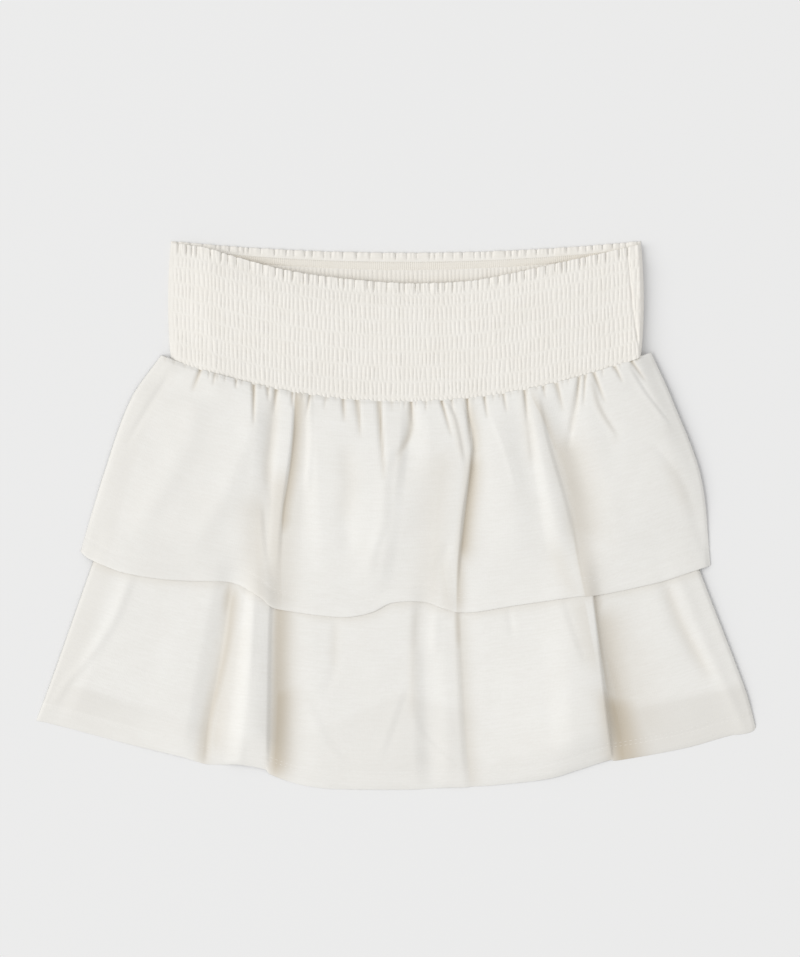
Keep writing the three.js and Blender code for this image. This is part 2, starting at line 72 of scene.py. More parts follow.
camera_data = bpy.data.cameras.new("camera")
camera_data.sensor_width = SENSOR
camera_data.lens = SENSOR * (CAMERA_HIGH - CLOTH_HIGH) / VIEW_LONG
camera_data.clip_end = CAMERA_REACH
camera = bpy.data.objects.new("camera", camera_data)
camera.location = (*CAMERA_CENTRE, CAMERA_HIGH)
bpy.context.scene.collection.objects.link(camera)
bpy.context.scene.camera = camera

# ---- Lower tier, front ----
# A long strip of slub jersey that hangs from the waist, gathered there, and shows below the upper tier. It
# falls in soft uneven folds, two of them with sheer edges, to a turned hem that twin rows of stitches hold.
# The shorts behind it show through a little: below their legs and near the sides the cloth is painted
# greyer, as shade shows through it.

SEAM_X = 3.5
SEAM_LOW_Y = 63.5
SEAM_SAG = 24.0
WAIST_X = 5.5
WAIST_HALF = 129.8
GAP = 0.3
JERSEY = 0.6  # thickness of the cloth
CLEAR = 0.03  # how far the cloth stays above the surface
DRIFT_HIGH = 0.25


def mix(a, b, t):
    """From a to b as t goes from 0 to 1."""
    return a + (b - a) * t


def smooth(t):
    """Rises from 0 to 1 with level ends: 3t^2 - 2t^3, held outside that range."""
    t = np.clip(t, 0, 1)
    return t * t * (3 - 2 * t)


def bell(distance, width):
    """A bump of height 1 that falls to 1/e at one width from its middle."""
    return np.exp(-((distance / width) ** 2))


def seam_y(x):
    """Height on the sheet of the seam under the waistband: a parabola that dips in the middle."""
    return SEAM_LOW_Y + SEAM_SAG * ((x - SEAM_X) / WAIST_HALF) ** 2


def curves(knots, values, cell, share, level=False):
    """Cubic curves through rows of values at rows of knots, all read at the same places: a share of the way
    through a cell. The slope at a knot is the chord over its neighbours or, where level, the harmonic mean
    of the two spans' slopes and none at a crest or in a valley, so that the curve stays between them."""
    knots = np.broadcast_to(knots, values.shape)
    rise = np.diff(values) / np.maximum(np.diff(knots), 1e-9)
    if level:
        left, right = rise[:, :-1], rise[:, 1:]
        same_way = left * right > 0
        middle = np.where(same_way, 2 * left * right / np.where(same_way, left + right, 1), 0)
    else:
        middle = (values[:, 2:] - values[:, :-2]) / np.maximum(knots[:, 2:] - knots[:, :-2], 1e-9)
    slope = np.concatenate([rise[:, :1], middle, rise[:, -1:]], axis=1)
    span = (knots[:, 1:] - knots[:, :-1])[:, cell]
    s, s2, s3 = share, share**2, share**3
    return (
        (2 * s3 - 3 * s2 + 1) * values[:, cell]
        + (s3 - 2 * s2 + s) * span * slope[:, cell]
        + (3 * s2 - 2 * s3) * values[:, cell + 1]
        + (s3 - s2) * span * slope[:, cell + 1]
    )


def cells(stations, t):
    """The cell of the stations that each t is in, and its share of the way through it."""
    stations = np.asarray(stations, float)
    cell = np.clip(np.searchsorted(stations, t, side="right") - 1, 0, len(stations) - 2)
    return cell, (t - stations[cell]) / np.diff(stations)[cell]


ROW_RISE = 0.7  # what a change of height counts for in the length of a row, beside one across
COLUMN_RISE = 1.5  # and in how many columns a span gets
LEAST_COLUMNS = 6


def tier_surface(lines, stations, v, per_span):
    """The middle of a tier's cloth as x, y and z over rows v from seam to hem, and columns across. Each line
    of the table is a smooth curve down the cloth, and each row is a smooth curve across the lines."""
    x_at = np.array([line[0] for line in lines], float)
    z_at = np.array([line[1] for line in lines], float)
    hem_y = np.array([line[2] for line in lines], float)
    cell, share = cells(stations, v)
    xs = curves(stations, x_at, cell, share).T
    zs = curves(stations, z_at, cell, share, level=True).T
    ys = mix(seam_y(x_at[:, 0]) - GAP, hem_y, v[:, None])
    steps = np.hypot(np.diff(xs), ROW_RISE * np.diff(zs))
    along = np.concatenate([np.zeros((len(v), 1)), np.cumsum(steps, axis=1)], axis=1)
    cell = np.repeat(np.arange(len(lines) - 1), per_span)
    share = np.concatenate([np.arange(n) / n for n in per_span])
    cell, share = np.append(cell, len(lines) - 2), np.append(share, 1.0)
    return (
        curves(along, xs, cell, share),
        curves(along, ys, cell, share),
        curves(along, zs, cell, share, level=True),
    )


def spans(lines, columns):
    """How many of the columns each span between two lines gets: by its width at the hem, with a least
    number."""
    hem_x = np.array([line[0][-1] for line in lines])
    hem_z = np.array([line[1][-1] for line in lines])
    wide = np.hypot(np.diff(hem_x), COLUMN_RISE * np.diff(hem_z))
    return np.maximum(LEAST_COLUMNS, np.round(wide / wide.sum() * columns)).astype(int)


SEAM_LOWER_Z = 5.7
TUCKED_Z = 1.2
LOWER_DEEP = 210.0
LOWER_STATIONS = (0, 0.42, 0.52, 0.9, 1)
# Lines of the cloth from left to right: x where the upper tier's hem crosses it, 79% of the way down what
# shows and at the hem, z at the same places, and the y where the line ends.
LOWER_LINES = [
    ((-164.5, -191.3, -198.9), (2.2, 1.7, 0.5), -113.6),
    ((-160.7, -187.0, -194.6), (3.4, 2.4, 0.7), -114.2),
    ((-149.6, -181.1, -190.3), (5.2, 3.2, 0.7), -115.3),
    ((-139.7, -171.8, -181.5), (6.0, 5.0, 0.8), -117.5),
    ((-116.3, -140.6, -146.3), (6.5, 6.0, 0.8), -126.8),
    ((-101.0, -116.0, -118.5), (7.2, 7.0, 1.2), -133.5),
    ((-90.8, -103.3, -105.0), (5.6, 4.5, 0.6), -137.5),
    ((-83.0, -93.0, -96.0), (6.8, 6.8, 1.0), -137.8),
    ((-77.0, -80.5, -86.0), (8.8, 11.2, 2.8), -137.8),
    ((-69.8, -71.6, -72.2), (8.2, 9.7, 1.8), -140.5),
    ((-67.0, -69.2, -69.8), (6.8, 7.4, 1.0), -143.0),
    ((-57.3, -56.3, -55.3), (5.8, 4.4, 0.6), -148.2),
    ((-44.4, -41.1, -40.2), (6.6, 5.4, 0.8), -150.8),
    ((-17.1, -23.0, -24.1), (6.9, 6.0, 0.8), -151.5),
    ((7.2, 9.3, 9.9), (7.2, 6.4, 1.0), -151.5),
    ((15.4, 18.0, 19.8), (6.0, 5.2, 0.7), -151.0),
    ((27.5, 29.7, 30.8), (7.0, 6.8, 1.1), -150.4),
    ((31.6, 35.0, 37.4), (7.0, 6.6, 1.0), -150.4),
    ((35.4, 39.6, 42.1), (6.2, 5.6, 0.7), -149.9),
    ((47.3, 51.5, 52.8), (7.0, 6.4, 0.9), -149.3),
    ((76.5, 83.6, 84.7), (7.8, 9.2, 1.2), -145.5),
    ((94.0, 98.0, 100.0), (8.6, 11.4, 1.5), -140.9),
    ((106.4, 115.7, 118.9), (8.0, 9.6, 1.4), -135.0),
    ((108.6, 117.2, 120.4), (6.2, 6.2, 0.9), -135.6),
    ((116.0, 125.5, 128.0), (5.6, 4.2, 0.7), -134.6),
    ((126.8, 138.9, 141.9), (5.2, 4.1, 0.7), -132.2),
    ((138.6, 158.8, 164.0), (4.6, 3.7, 0.7), -127.6),
    ((146.2, 174.5, 184.4), (3.8, 3.1, 0.7), -121.8),
    ((152.4, 183.1, 192.5), (3.4, 2.8, 0.8), -120.7),
    ((161.4, 191.1, 197.0), (2.6, 2.1, 0.7), -119.4),
    ((163.5, 193.2, 198.9), (2.1, 1.7, 0.6), -117.4),
]

# Creases: the points that each runs through, from the top down; then, to the left of it and to its right,
# how high it stands (below 0 a trough) and how far it reaches.
LOWER_CREASES = [
    ([(-146, -34), (-155, -57), (-168, -77), (-182, -93), (-190, -104)], 0.8, 4.0, 0.6, 3.0),
    ([(-91.5, -38), (-95.7, -68), (-99.5, -91), (-103.5, -112), (-105.6, -138)], -0.3, 2.6, -0.5, 1.8),
    ([(-78, -48), (-80, -75), (-82.5, -100), (-86.5, -139)], 0.3, 3.0, 0.3, 2.4),
    ([(-33.5, -56), (-34.5, -86), (-38.5, -97)], -0.3, 3.0, -0.3, 3.0),
    ([(12, -46), (11, -73)], -0.4, 3.0, -0.4, 3.0),
    ([(22, -50), (21, -74)], 0.5, 3.0, 0.5, 3.0),
    ([(11, -107), (15.5, -120), (32.5, -137)], 0.2, 6.0, -0.1, 5.0),
    ([(61.5, -46), (64, -65)], -0.3, 2.2, -0.3, 2.2),
    ([(90, -42), (95.5, -60), (102, -78)], 0.2, 5.0, -0.2, 5.0),
    ([(148.5, -36), (155, -55), (164, -73), (172, -88)], -0.6, 4.5, -0.6, 4.0),
    ([(157, -35), (168.5, -64), (182, -93), (196, -120)], 0.5, 4.5, 0.4, 4.0),
    ([(5, -96), (-0.5, -112), (-6.5, -130)], 0.3, 6.0, -0.2, 5.0),
    ([(-47.5, -101), (-39, -121), (-28, -136)], 0.15, 7.0, -0.12, 7.0),
]

# Painted shade, where a deep fold keeps the light out: the points that each runs through, then to its left
# and to its right how strong it is and how far it reaches.
LOWER_SHADES = [
    ([(-90, -40), (-93.2, -68), (-98.2, -91), (-103.6, -112), (-107.6, -137)], 0.42, 4.0, 0.55, 4.6),
    ([(-91.5, -36), (-93.5, -56)], 0.5, 2.8, 0.5, 3.5),
    ([(-92, -62), (-95, -80), (-98, -104), (-101, -130)], 0.24, 6.0, 0.28, 8.0),
    ([(-64.5, -38), (-65.2, -70), (-65.7, -100), (-67.6, -144)], 0.65, 3.2, 0.68, 8.0),
    ([(-65, -92), (-66, -118), (-67.6, -144)], 0.7, 3.6, 0.85, 9.0),
    ([(-33.5, -56), (-34.5, -84)], 0.12, 2.6, 0.14, 3.2),
    ([(12, -48), (10, -72), (9.5, -108)], 0.16, 3.0, 0.12, 3.4),
    ([(33.2, -48), (34.4, -74)], 0.4, 1.6, 0.5, 2.6),
    ([(33.4, -52), (35.4, -87), (38.2, -124), (41, -150)], 0.16, 2.4, 0.26, 6.0),
    ([(103, -42), (107, -64), (111, -84)], 0.2, 9.0, 0.0, 1.0),
    ([(107.2, -38), (111.5, -70), (116.5, -101), (120, -137)], 0.0, 1.0, 0.55, 5.0),
    ([(124, -66), (130, -96), (136, -122)], 0.2, 11.0, 0.18, 14.0),
    ([(110, -52), (116, -84), (122, -132)], 0.0, 2.0, 0.5, 14.0),
    ([(114, -72), (120, -96), (124.0, -128)], 0.3, 5.0, 0.55, 9.0),
    ([(119, -98), (123.5, -118), (127.0, -140)], 0.95, 8.0, 0.85, 11.0),
    ([(149, -38), (155, -55), (164, -73), (171, -86)], 0.2, 4.0, 0.2, 3.4),
]
SHADE_FADE = 18.0  # length over which a shade fades in and out
SHADE_JOIN = 1.2  # width over which its left side goes over into its right one
CREASE_FADE = 14.0  # and a crease, unless its path is short
SHORT_FADE = 0.4  # the share of its length that it then takes


def beside(x, y, path, fade):
    """How far each place is to the right of a smooth path down the cloth, and the share of its strength that
    the path has there: it fades in and out round its two ends."""
    path_x, path_y = np.array(path[::-1], float).T
    share = smooth((y - path_y[0]) / fade + 0.5) * smooth((path_y[-1] - y) / fade + 0.5)
    return x - curves(path_y, path_x[None], *cells(path_y, np.clip(y, path_y[0], path_y[-1])))[0], share


def shades(x, y, table):
    """How shaded each place is, from 0 to 1: the strongest of the table's shades, each half a bell to either
    side of its path."""
    shade = np.zeros_like(x)
    for path, left, left_wide, right, right_wide in table:
        off, share = beside(x, y, path, SHADE_FADE)
        right_side = smooth(off / SHADE_JOIN + 0.5)
        here = mix(left * bell(off, left_wide), right * bell(off, right_wide), right_side)
        shade = np.maximum(shade, share * here)
    return shade


def creases(x, y, table):
    """Height of the creases at x, y. Each is half a bell to either side of its path, and the two halves are
    joined over their mean width."""
    height = np.zeros_like(x)
    for path, left, left_wide, right, right_wide in table:
        off, share = beside(x, y, path, min(CREASE_FADE, SHORT_FADE * (path[0][1] - path[-1][1])))
        joined = smooth(2 * off / (left_wide + right_wide) + 0.5)
        height += share * mix(left * bell(off, left_wide), right * bell(off, right_wide), joined)
    return height


WAVES = 14
WAVE_LONG = (14, 55)


def drift(x, y, high, seed):
    """Slight unevenness of cloth that was laid down by hand: a sum of long waves in random directions."""
    rng = np.random.default_rng(seed)
    height = np.zeros_like(x)
    for _ in range(WAVES):
        turn, long = rng.uniform(0, math.pi), rng.uniform(*WAVE_LONG)
        wave = (x * math.cos(turn) + y * math.sin(turn)) / long + rng.uniform()
        height += rng.uniform(0.3, 1) * (long / WAVE_LONG[1]) * np.sin(2 * math.pi * wave)
    return high * height / 3


def normals(points):
    """The upward normal at each point of a grid: the cross product of its steps down and across."""
    down, across = np.gradient(points, axis=0), np.gradient(points, axis=1)
    normal = np.cross(down, across)
    return normal / np.linalg.norm(normal, axis=2, keepdims=True)


def strip(top, bottom):
    """Triangles between two rows of numbers that may differ in count: each short edge of one row goes with
    the point of the other that is the same share of the way along."""
    n, m = len(top) - 1, len(bottom) - 1
    partner = np.floor((np.arange(n) + 0.5) / n * m + 0.5).astype(int)
    reached = np.searchsorted(partner, np.arange(m), side="right")
    first = np.stack([top[:-1], bottom[partner], top[1:]], axis=1)
    second = np.stack([top[reached], bottom[:-1], bottom[1:]], axis=1)
    return np.concatenate([first, second])


def new_mesh(name, points, quads, triangles, uv, material, marks=None):
    """A smooth-shaded mesh object from points in millimetres, with the cloth's own coordinates in metres and
    any marks: named values at its points that the material reads."""
    mesh = bpy.data.meshes.new(name)
    corners = np.concatenate([quads.ravel(), triangles.ravel()]).astype(np.int32)
    totals = np.concatenate([np.full(len(quads), 4), np.full(len(triangles), 3)]).astype(np.int32)
    mesh.vertices.add(len(points))
    mesh.vertices.foreach_set("co", (points * MM).astype(np.float32).ravel())
    mesh.loops.add(len(corners))
    mesh.loops.foreach_set("vertex_index", corners)
    mesh.polygons.add(len(totals))
    mesh.polygons.foreach_set("loop_start", np.concatenate([[0], np.cumsum(totals)[:-1]]).astype(np.int32))
    mesh.polygons.foreach_set("loop_total", totals)
    mesh.polygons.foreach_set("use_smooth", np.ones(len(totals), bool))
    layer = mesh.uv_layers.new(name="cloth")
    layer.data.foreach_set("uv", (uv * MM).astype(np.float32)[corners].ravel())
    for mark, values in (marks or {}).items():
        mesh.attributes.new(mark, "FLOAT", "POINT").data.foreach_set("value", values.astype(np.float32))
    mesh.update(calc_edges=True)
    mesh.materials.append(material)
    piece = bpy.data.objects.new(name, mesh)
    bpy.context.scene.collection.objects.link(piece)
    return piece


def wall(name, upper, lower, material, **marks):
    """A closed wall of cloth between two grids, both from the waist down and from left to right: the two
    grids, and strips that join their rims. The cloth's own coordinates are lengths along the upper grid, and
    marks are values at the upper grid's points."""
    across = np.linalg.norm(np.diff(upper, axis=1), axis=2).mean(axis=0)
    down = np.linalg.norm(np.diff(upper, axis=0), axis=2)
    u = np.concatenate([[0], np.cumsum(across)])
    v = np.concatenate([np.zeros((1, upper.shape[1])), -np.cumsum(down, axis=0)])
    upper_uv = np.stack([np.broadcast_to(u, v.shape), v], axis=2)
    pick = [np.linspace(0, n - 1, m).round().astype(int) for n, m in zip(upper.shape, lower.shape[:2])]
    lower_uv = upper_uv[np.ix_(*pick)]
    marks = {key: np.concatenate([at.ravel(), at[np.ix_(*pick)].ravel()]) for key, at in marks.items()}

    above = np.arange(upper.shape[0] * upper.shape[1]).reshape(upper.shape[:2])
    below = above.size + np.arange(lower.shape[0] * lower.shape[1]).reshape(lower.shape[:2])
    faces = []
    for ids, order in ((above, (0, 1, 2, 3)), (below, (0, 3, 2, 1))):
        corner = (ids[:-1, :-1], ids[1:, :-1], ids[1:, 1:], ids[:-1, 1:])
        faces.append(np.stack([corner[k] for k in order], axis=-1).reshape(-1, 4))
    rims = [(ids[:, 0], ids[-1], ids[::-1, -1], ids[0, ::-1]) for ids in (above, below)]
    triangles = np.concatenate([strip(top, bottom) for top, bottom in zip(*rims)])
    points = np.concatenate([upper.reshape(-1, 3), lower.reshape(-1, 3)])
    uv = np.concatenate([upper_uv.reshape(-1, 2), lower_uv.reshape(-1, 2)])
    return new_mesh(name, points, np.concatenate(faces), triangles, uv, material, marks)


HEM_DEEP = 10.0
HEM_EXTRA = 0.12  # the turned hem is thicker by this
HEM_PAST = 1.6  # the turned-in edge ends this far above that
HEM_EASE = 1.2  # width over which it thickens
HEM_ROUND = 2.4  # the fold at its edge is rounded over this width
HEM_LAST_ROWS = (2.0, 1.3, 0.8, 0.4, 0.15, 0.0)  # how far the mesh's last rows are from that edge
LEAST_ROW = 0.002
GROOVE_UP = 1.2  # the stitches' groove lies this far inside the hem
GROOVE_DEEP = 0.2
GROOVE_WIDE = 1.0
SIDE_ROLL = 1.8  # width over which a tier turns down at its side folds
LEFT_DROP = 0.7  # share of its height that it loses there
RIGHT_DROP = 0.3
SIDE_EASE = 1.6  # width over which its cloth thins towards those folds
SIDE_THIN = 0.4


def hem_rows(split, above, below, deep):
    """Rows from seam to hem, v from 0 to 1: even ones down to a split and below it, and a few close ones at
    the hem so that its fold is round."""
    even = np.concatenate([np.linspace(0, split, above)[:-1], np.linspace(split, 1, below)])
    edge = 1 - np.array(HEM_LAST_ROWS) / deep
    return np.concatenate([even[even < edge[0] - LEAST_ROW], edge])


def hem_shape(v, deep):
    """Thickness of the cloth at v: one layer, then the turned hem, then the round fold at its edge. Also how
    far the middle of the cloth dips: in the slight groove that the stitching pulls, and over the fold, whose
    underside is level."""
    from_edge = (1 - v) * deep
    layers = JERSEY + HEM_EXTRA * smooth((HEM_DEEP + HEM_PAST - from_edge) / HEM_EASE)
    round_edge = np.sqrt(np.clip(1 - (1 - np.clip(from_edge / HEM_ROUND, 0, 1)) ** 2, 0.004, 1))
    thick = layers * round_edge
    groove = GROOVE_DEEP * bell(from_edge - HEM_DEEP + GROOVE_UP, GROOVE_WIDE)
    return thick, groove + (layers - thick) / 2


def rolled(from_left, from_right):
    """Share of its height that a tier keeps near its side folds, where it turns down more and more."""
    near_left, near_right = (1 - np.clip(off / SIDE_ROLL, 0, 1) for off in (from_left, from_right))
    return 1 - LEFT_DROP * near_left**2 - RIGHT_DROP * near_right**2


def hemmed(x, y, z, side, v, deep):
    """The middle of a tier's cloth with its hem, kept off the surface, and its thickness, which is less
    towards the side folds."""
    thick, dip = hem_shape(v[:, None], deep)
    thick = thick * mix(SIDE_THIN, 1, smooth(side / SIDE_EASE))
    return np.stack([x, y, np.maximum(z - dip, thick / 2 + CLEAR)], axis=2), thick


def every(grid, step):
    """About every step-th row and column of a grid, always with the first and the last."""
    rows, columns = (np.linspace(0, n - 1, (n - 1) // step + 1).round().astype(int) for n in grid.shape[:2])
    return grid[np.ix_(rows, columns)]


def lay(points, thick):
    """The two faces of a sheet of cloth whose middle is points, thick in all. The underside is coarser."""
    half = normals(points) * (thick[:, :, None] / 2)
    return points + half, every(points - half, 2)


class Wire:
    """A socket of a material's node tree. Sums and products of wires add Math nodes."""

    def __init__(self, tree, socket):
        self.tree = tree
        self.socket = socket

    def node(self, kind, settings=None, out=0, **values):
        """Any other node: its type, the settings that are made first, and its inputs as values or wires."""
        node = self.tree.nodes.new(kind)
        for key, value in (settings or {}).items():
            setattr(node, key, value)
        for key, value in values.items():
            name = key.replace("_", " ")
            target = node.inputs[int(key[1:])] if key[0] == "i" and key[1:].isdigit() else node.inputs[name]
            if isinstance(value, Wire):
                self.tree.links.new(value.socket, target)
            else:
                target.default_value = value
        return Wire(self.tree, node.outputs[out] if node.outputs else None)

    def math(self, operation, *others):
        inputs = {f"i{k}": value for k, value in enumerate(others)}
        return self.node("ShaderNodeMath", {"operation": operation}, **inputs)

    def __add__(self, other):
        return self.math("ADD", self, other)

    def __radd__(self, other):
        return self.math("ADD", other, self)

    def __sub__(self, other):
        return self.math("SUBTRACT", self, other)

    def __rsub__(self, other):
        return self.math("SUBTRACT", other, self)

    def __mul__(self, other):
        return self.math("MULTIPLY", self, other)

    def __rmul__(self, other):
        return self.math("MULTIPLY", other, self)

    def __truediv__(self, other):
        return self.math("DIVIDE", self, other)

    def sine(self):
        return self.math("SINE", self)

    def size(self):
        return self.math("ABSOLUTE", self)

    def step(self, low, high):
        """Rises from 0 to 1 as this goes from low to high."""
        settings = {"interpolation_type": "SMOOTHSTEP"}
        return self.node("ShaderNodeMapRange", settings, Value=self, From_Min=low, From_Max=high)

    def tint(self, low, high):
        """A colour between low and high, by this."""
        return self.node("ShaderNodeMix", {"data_type": "RGBA"}, out=2, i0=self, i6=(*low, 1), i7=(*high, 1))

    def blend(self, colour, other):
        """The colour of a wire mixed towards another colour, by this."""
        return self.node("ShaderNodeMix", {"data_type": "RGBA"}, out=2, i0=self, i6=colour, i7=(*other, 1))


# Colours of painted shade: warm and darker in deep folds, grey where shade shows through the thin cloth or
# falls on it.
FOLD_SHADE_COLOUR = (0.56, 0.49, 0.385)
SHADE_GREY = (0.72, 0.7, 0.66)
SHADE_GREY_SHARE = 0.6
YARN_PER_METRE = (420, 1300, 1)  # the yarn's unevenness, across the cloth and down it
SLUBS_PER_METRE = (80, 800, 1)
CLOUDS_PER_METRE = 60.0
RELIEF_HIGH = 0.0002
SHEEN = 0.12


def cloth_material(name, pale, deep, wale, course, roughness, bump):
    """Slub cotton jersey: knit columns a wale apart and rows a course apart, thick and thin yarn in streaks
    along the rows, and slight cloudiness. pale and deep are the colours of its lightest and darkest yarn.
    The two marks on the cloth paint shade into its colour: the grey mark turns it greyer where shade shows
    through the thin cloth or falls on it, and the fold mark turns it warmer and darker where shade falls in
    deep folds."""
    material = bpy.data.materials.new(name)
    material.use_nodes = True
    tree = material.node_tree
    tree.nodes.clear()
    start = Wire(tree, None)
    uv = start.node("ShaderNodeUVMap", {"uv_map": "cloth"})
    across = uv.node("ShaderNodeSeparateXYZ", Vector=uv)
    down = Wire(tree, across.socket.node.outputs[1])

    flat = {"noise_dimensions": "2D"}
    stretched = uv.node("ShaderNodeMapping", Vector=uv, Scale=YARN_PER_METRE)
    yarn = uv.node("ShaderNodeTexNoise", flat, Vector=stretched, Scale=1.0, Detail=3.0)
    long_streak = uv.node("ShaderNodeMapping", Vector=uv, Scale=SLUBS_PER_METRE)
    slub = uv.node("ShaderNodeTexNoise", flat, Vector=long_streak, Scale=1.0, Detail=2.0)
    cloud = uv.node("ShaderNodeTexNoise", flat, Vector=uv, Scale=CLOUDS_PER_METRE, Detail=3.0)

    column = (across * (math.pi / wale)).sine().size()
    bend = (column - 0.5) * 0.5
    row = ((down / course + bend) * (2 * math.pi)).sine()
    knit = column * 0.6 + row * 0.3
    relief = knit * 0.5 + yarn * 0.8 + slub.step(0.45, 0.75) * 0.5

    tone = yarn * 0.3 + slub * 0.4 + cloud * 0.3
    colour = tone.step(0.3, 0.7).tint(deep, pale)
    # Painted shade, read from the two marks on the cloth.
    fold = start.node("ShaderNodeAttribute", {"attribute_name": "fold"}, out=2)
    single = start.node("ShaderNodeAttribute", {"attribute_name": "single"}, out=2)
    colour = (single * SHADE_GREY_SHARE).blend(colour, SHADE_GREY)
    colour = fold.blend(colour, FOLD_SHADE_COLOUR)
    normal = start.node("ShaderNodeBump", Height=relief, Strength=bump, Distance=RELIEF_HIGH)
    surface = start.node(
        "ShaderNodeBsdfPrincipled",
        Base_Color=colour,
        Roughness=roughness,
        Normal=normal,
        Specular_IOR_Level=SHEEN,
    )
    start.node("ShaderNodeOutputMaterial", Surface=surface)
    return material


JERSEY_PALE = (0.833, 0.8235, 0.793)
JERSEY_DEEP = (0.801, 0.7875, 0.753)
THREAD_PALE = (0.86, 0.845, 0.81)
THREAD_DEEP = (0.84, 0.82, 0.78)

tier_cloth = cloth_material(
    "tier_jersey", JERSEY_PALE, JERSEY_DEEP, wale=0.0008, course=0.00065, roughness=0.82, bump=0.35
)
thread = cloth_material("sewing_thread", THREAD_PALE, THREAD_DEEP, 0.0004, 0.0004, roughness=0.6, bump=0.2)

THREAD_THICK = 0.2
STITCH_LONG = 2.3
STITCH_PITCH = 2.9
STITCH_ROWS = (8.0, 10.4)  # from the hem's edge
STITCH_LOW = 0.03  # how far its middle lies in the cloth
STITCH_SINKS = 0.35  # and how much deeper its ends do
LOOK_AHEAD = 0.4  # how far on along its path its direction is taken


def stitches(name, centres, along, up, material):
    """Stitches as one mesh. Each is a short thread that bends down into the cloth at both ends: rings round
    a path along the stitch, thinner towards the ends."""
    t = np.linspace(-1, 1, 6)
    turn = np.arange(6) * math.pi / 3
    across = np.cross(along, up)
    path = centres[:, None] + along[:, None] * (t * STITCH_LONG / 2)[None, :, None]
    path = path - up[:, None] * (STITCH_LOW + STITCH_SINKS * t**4)[None, :, None]
    thin = THREAD_THICK / 2 * (1 - 0.5 * t**4)
    ring = np.cos(turn)[:, None] * across[:, None, None] + np.sin(turn)[:, None] * up[:, None, None]
    points = path[:, :, None] + thin[None, :, None, None] * ring
    count, rings, sides = points.shape[:3]
    ids = np.arange(count * rings * sides).reshape(count, rings, sides)
    after = np.roll(ids, -1, axis=2)
    quads = np.stack([ids[:, :-1], after[:, :-1], after[:, 1:], ids[:, 1:]], axis=-1).reshape(-1, 4)
    fan = [(0, k + 1, k) for k in range(1, sides - 1)]
    first = np.concatenate([ids[:, 0][:, face] for face in fan])
    last = np.concatenate([ids[:, -1][:, face[::-1]] for face in fan])
    flat = points.reshape(-1, 3)
    return new_mesh(name, flat, quads, np.concatenate([first, last]), flat[:, :2], material)


def on_path(path, up, pitch):
    """Points at every pitch along a path over cloth, with the path's direction and the cloth's normal."""
    lengths = np.concatenate([[0], np.cumsum(np.linalg.norm(np.diff(path, axis=0), axis=1))])
    at = np.arange(pitch, lengths[-1] - pitch, pitch)

    def read(places, rows):
        return np.stack([np.interp(places, lengths, rows[:, k]) for k in range(3)], axis=1)

    centres, normal = read(at, path), read(at, up)
    along = read(at + LOOK_AHEAD, path) - centres
    return (
        centres,
        along / np.linalg.norm(along, axis=1, keepdims=True),
        normal / np.linalg.norm(normal, axis=1, keepdims=True),
    )


def hem_stitches(name, points, v, deep):
    """Twin rows of stitches that hold the turned hem of a tier."""
    normal = normals(points)
    thick = hem_shape(v, deep)[0]
    rows = []
    for from_edge in STITCH_ROWS:
        row = np.abs((1 - v) * deep - from_edge).argmin()
        rows.append(on_path(points[row] + normal[row] * thick[row] / 2, normal[row], STITCH_PITCH))
    piece = stitches(name, *(np.concatenate(part) for part in zip(*rows)), thread)
    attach(piece, "root")
    return piece


def place(piece, node):
    """Hangs a piece from the frame's root and hides the solid in whose place it lies."""
    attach(piece, "root")
    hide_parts(node)


TUCK_SHARE = 0.12  # share of the tier's width over which its hidden top is tucked down at each side
HIDDEN_LEAN = 0.82  # how much of a line's way across is done by the second place down


def with_seam(line):
    """A line of the lower tier with its hidden top: level at the seam, where its x is by its share of the
    tier's width."""
    x_at, z_at, hem_y = line
    share = (x_at[0] - LOWER_LINES[0][0][0]) / (LOWER_LINES[-1][0][0] - LOWER_LINES[0][0][0])
    seam_x = WAIST_X + (2 * share - 1) * (WAIST_HALF - 1)
    flat = mix(TUCKED_Z, SEAM_LOWER_Z, smooth(min(share, 1 - share) / TUCK_SHARE))
    return (seam_x, mix(seam_x, x_at[0], HIDDEN_LEAN), *x_at), (flat, flat, *z_at), hem_y


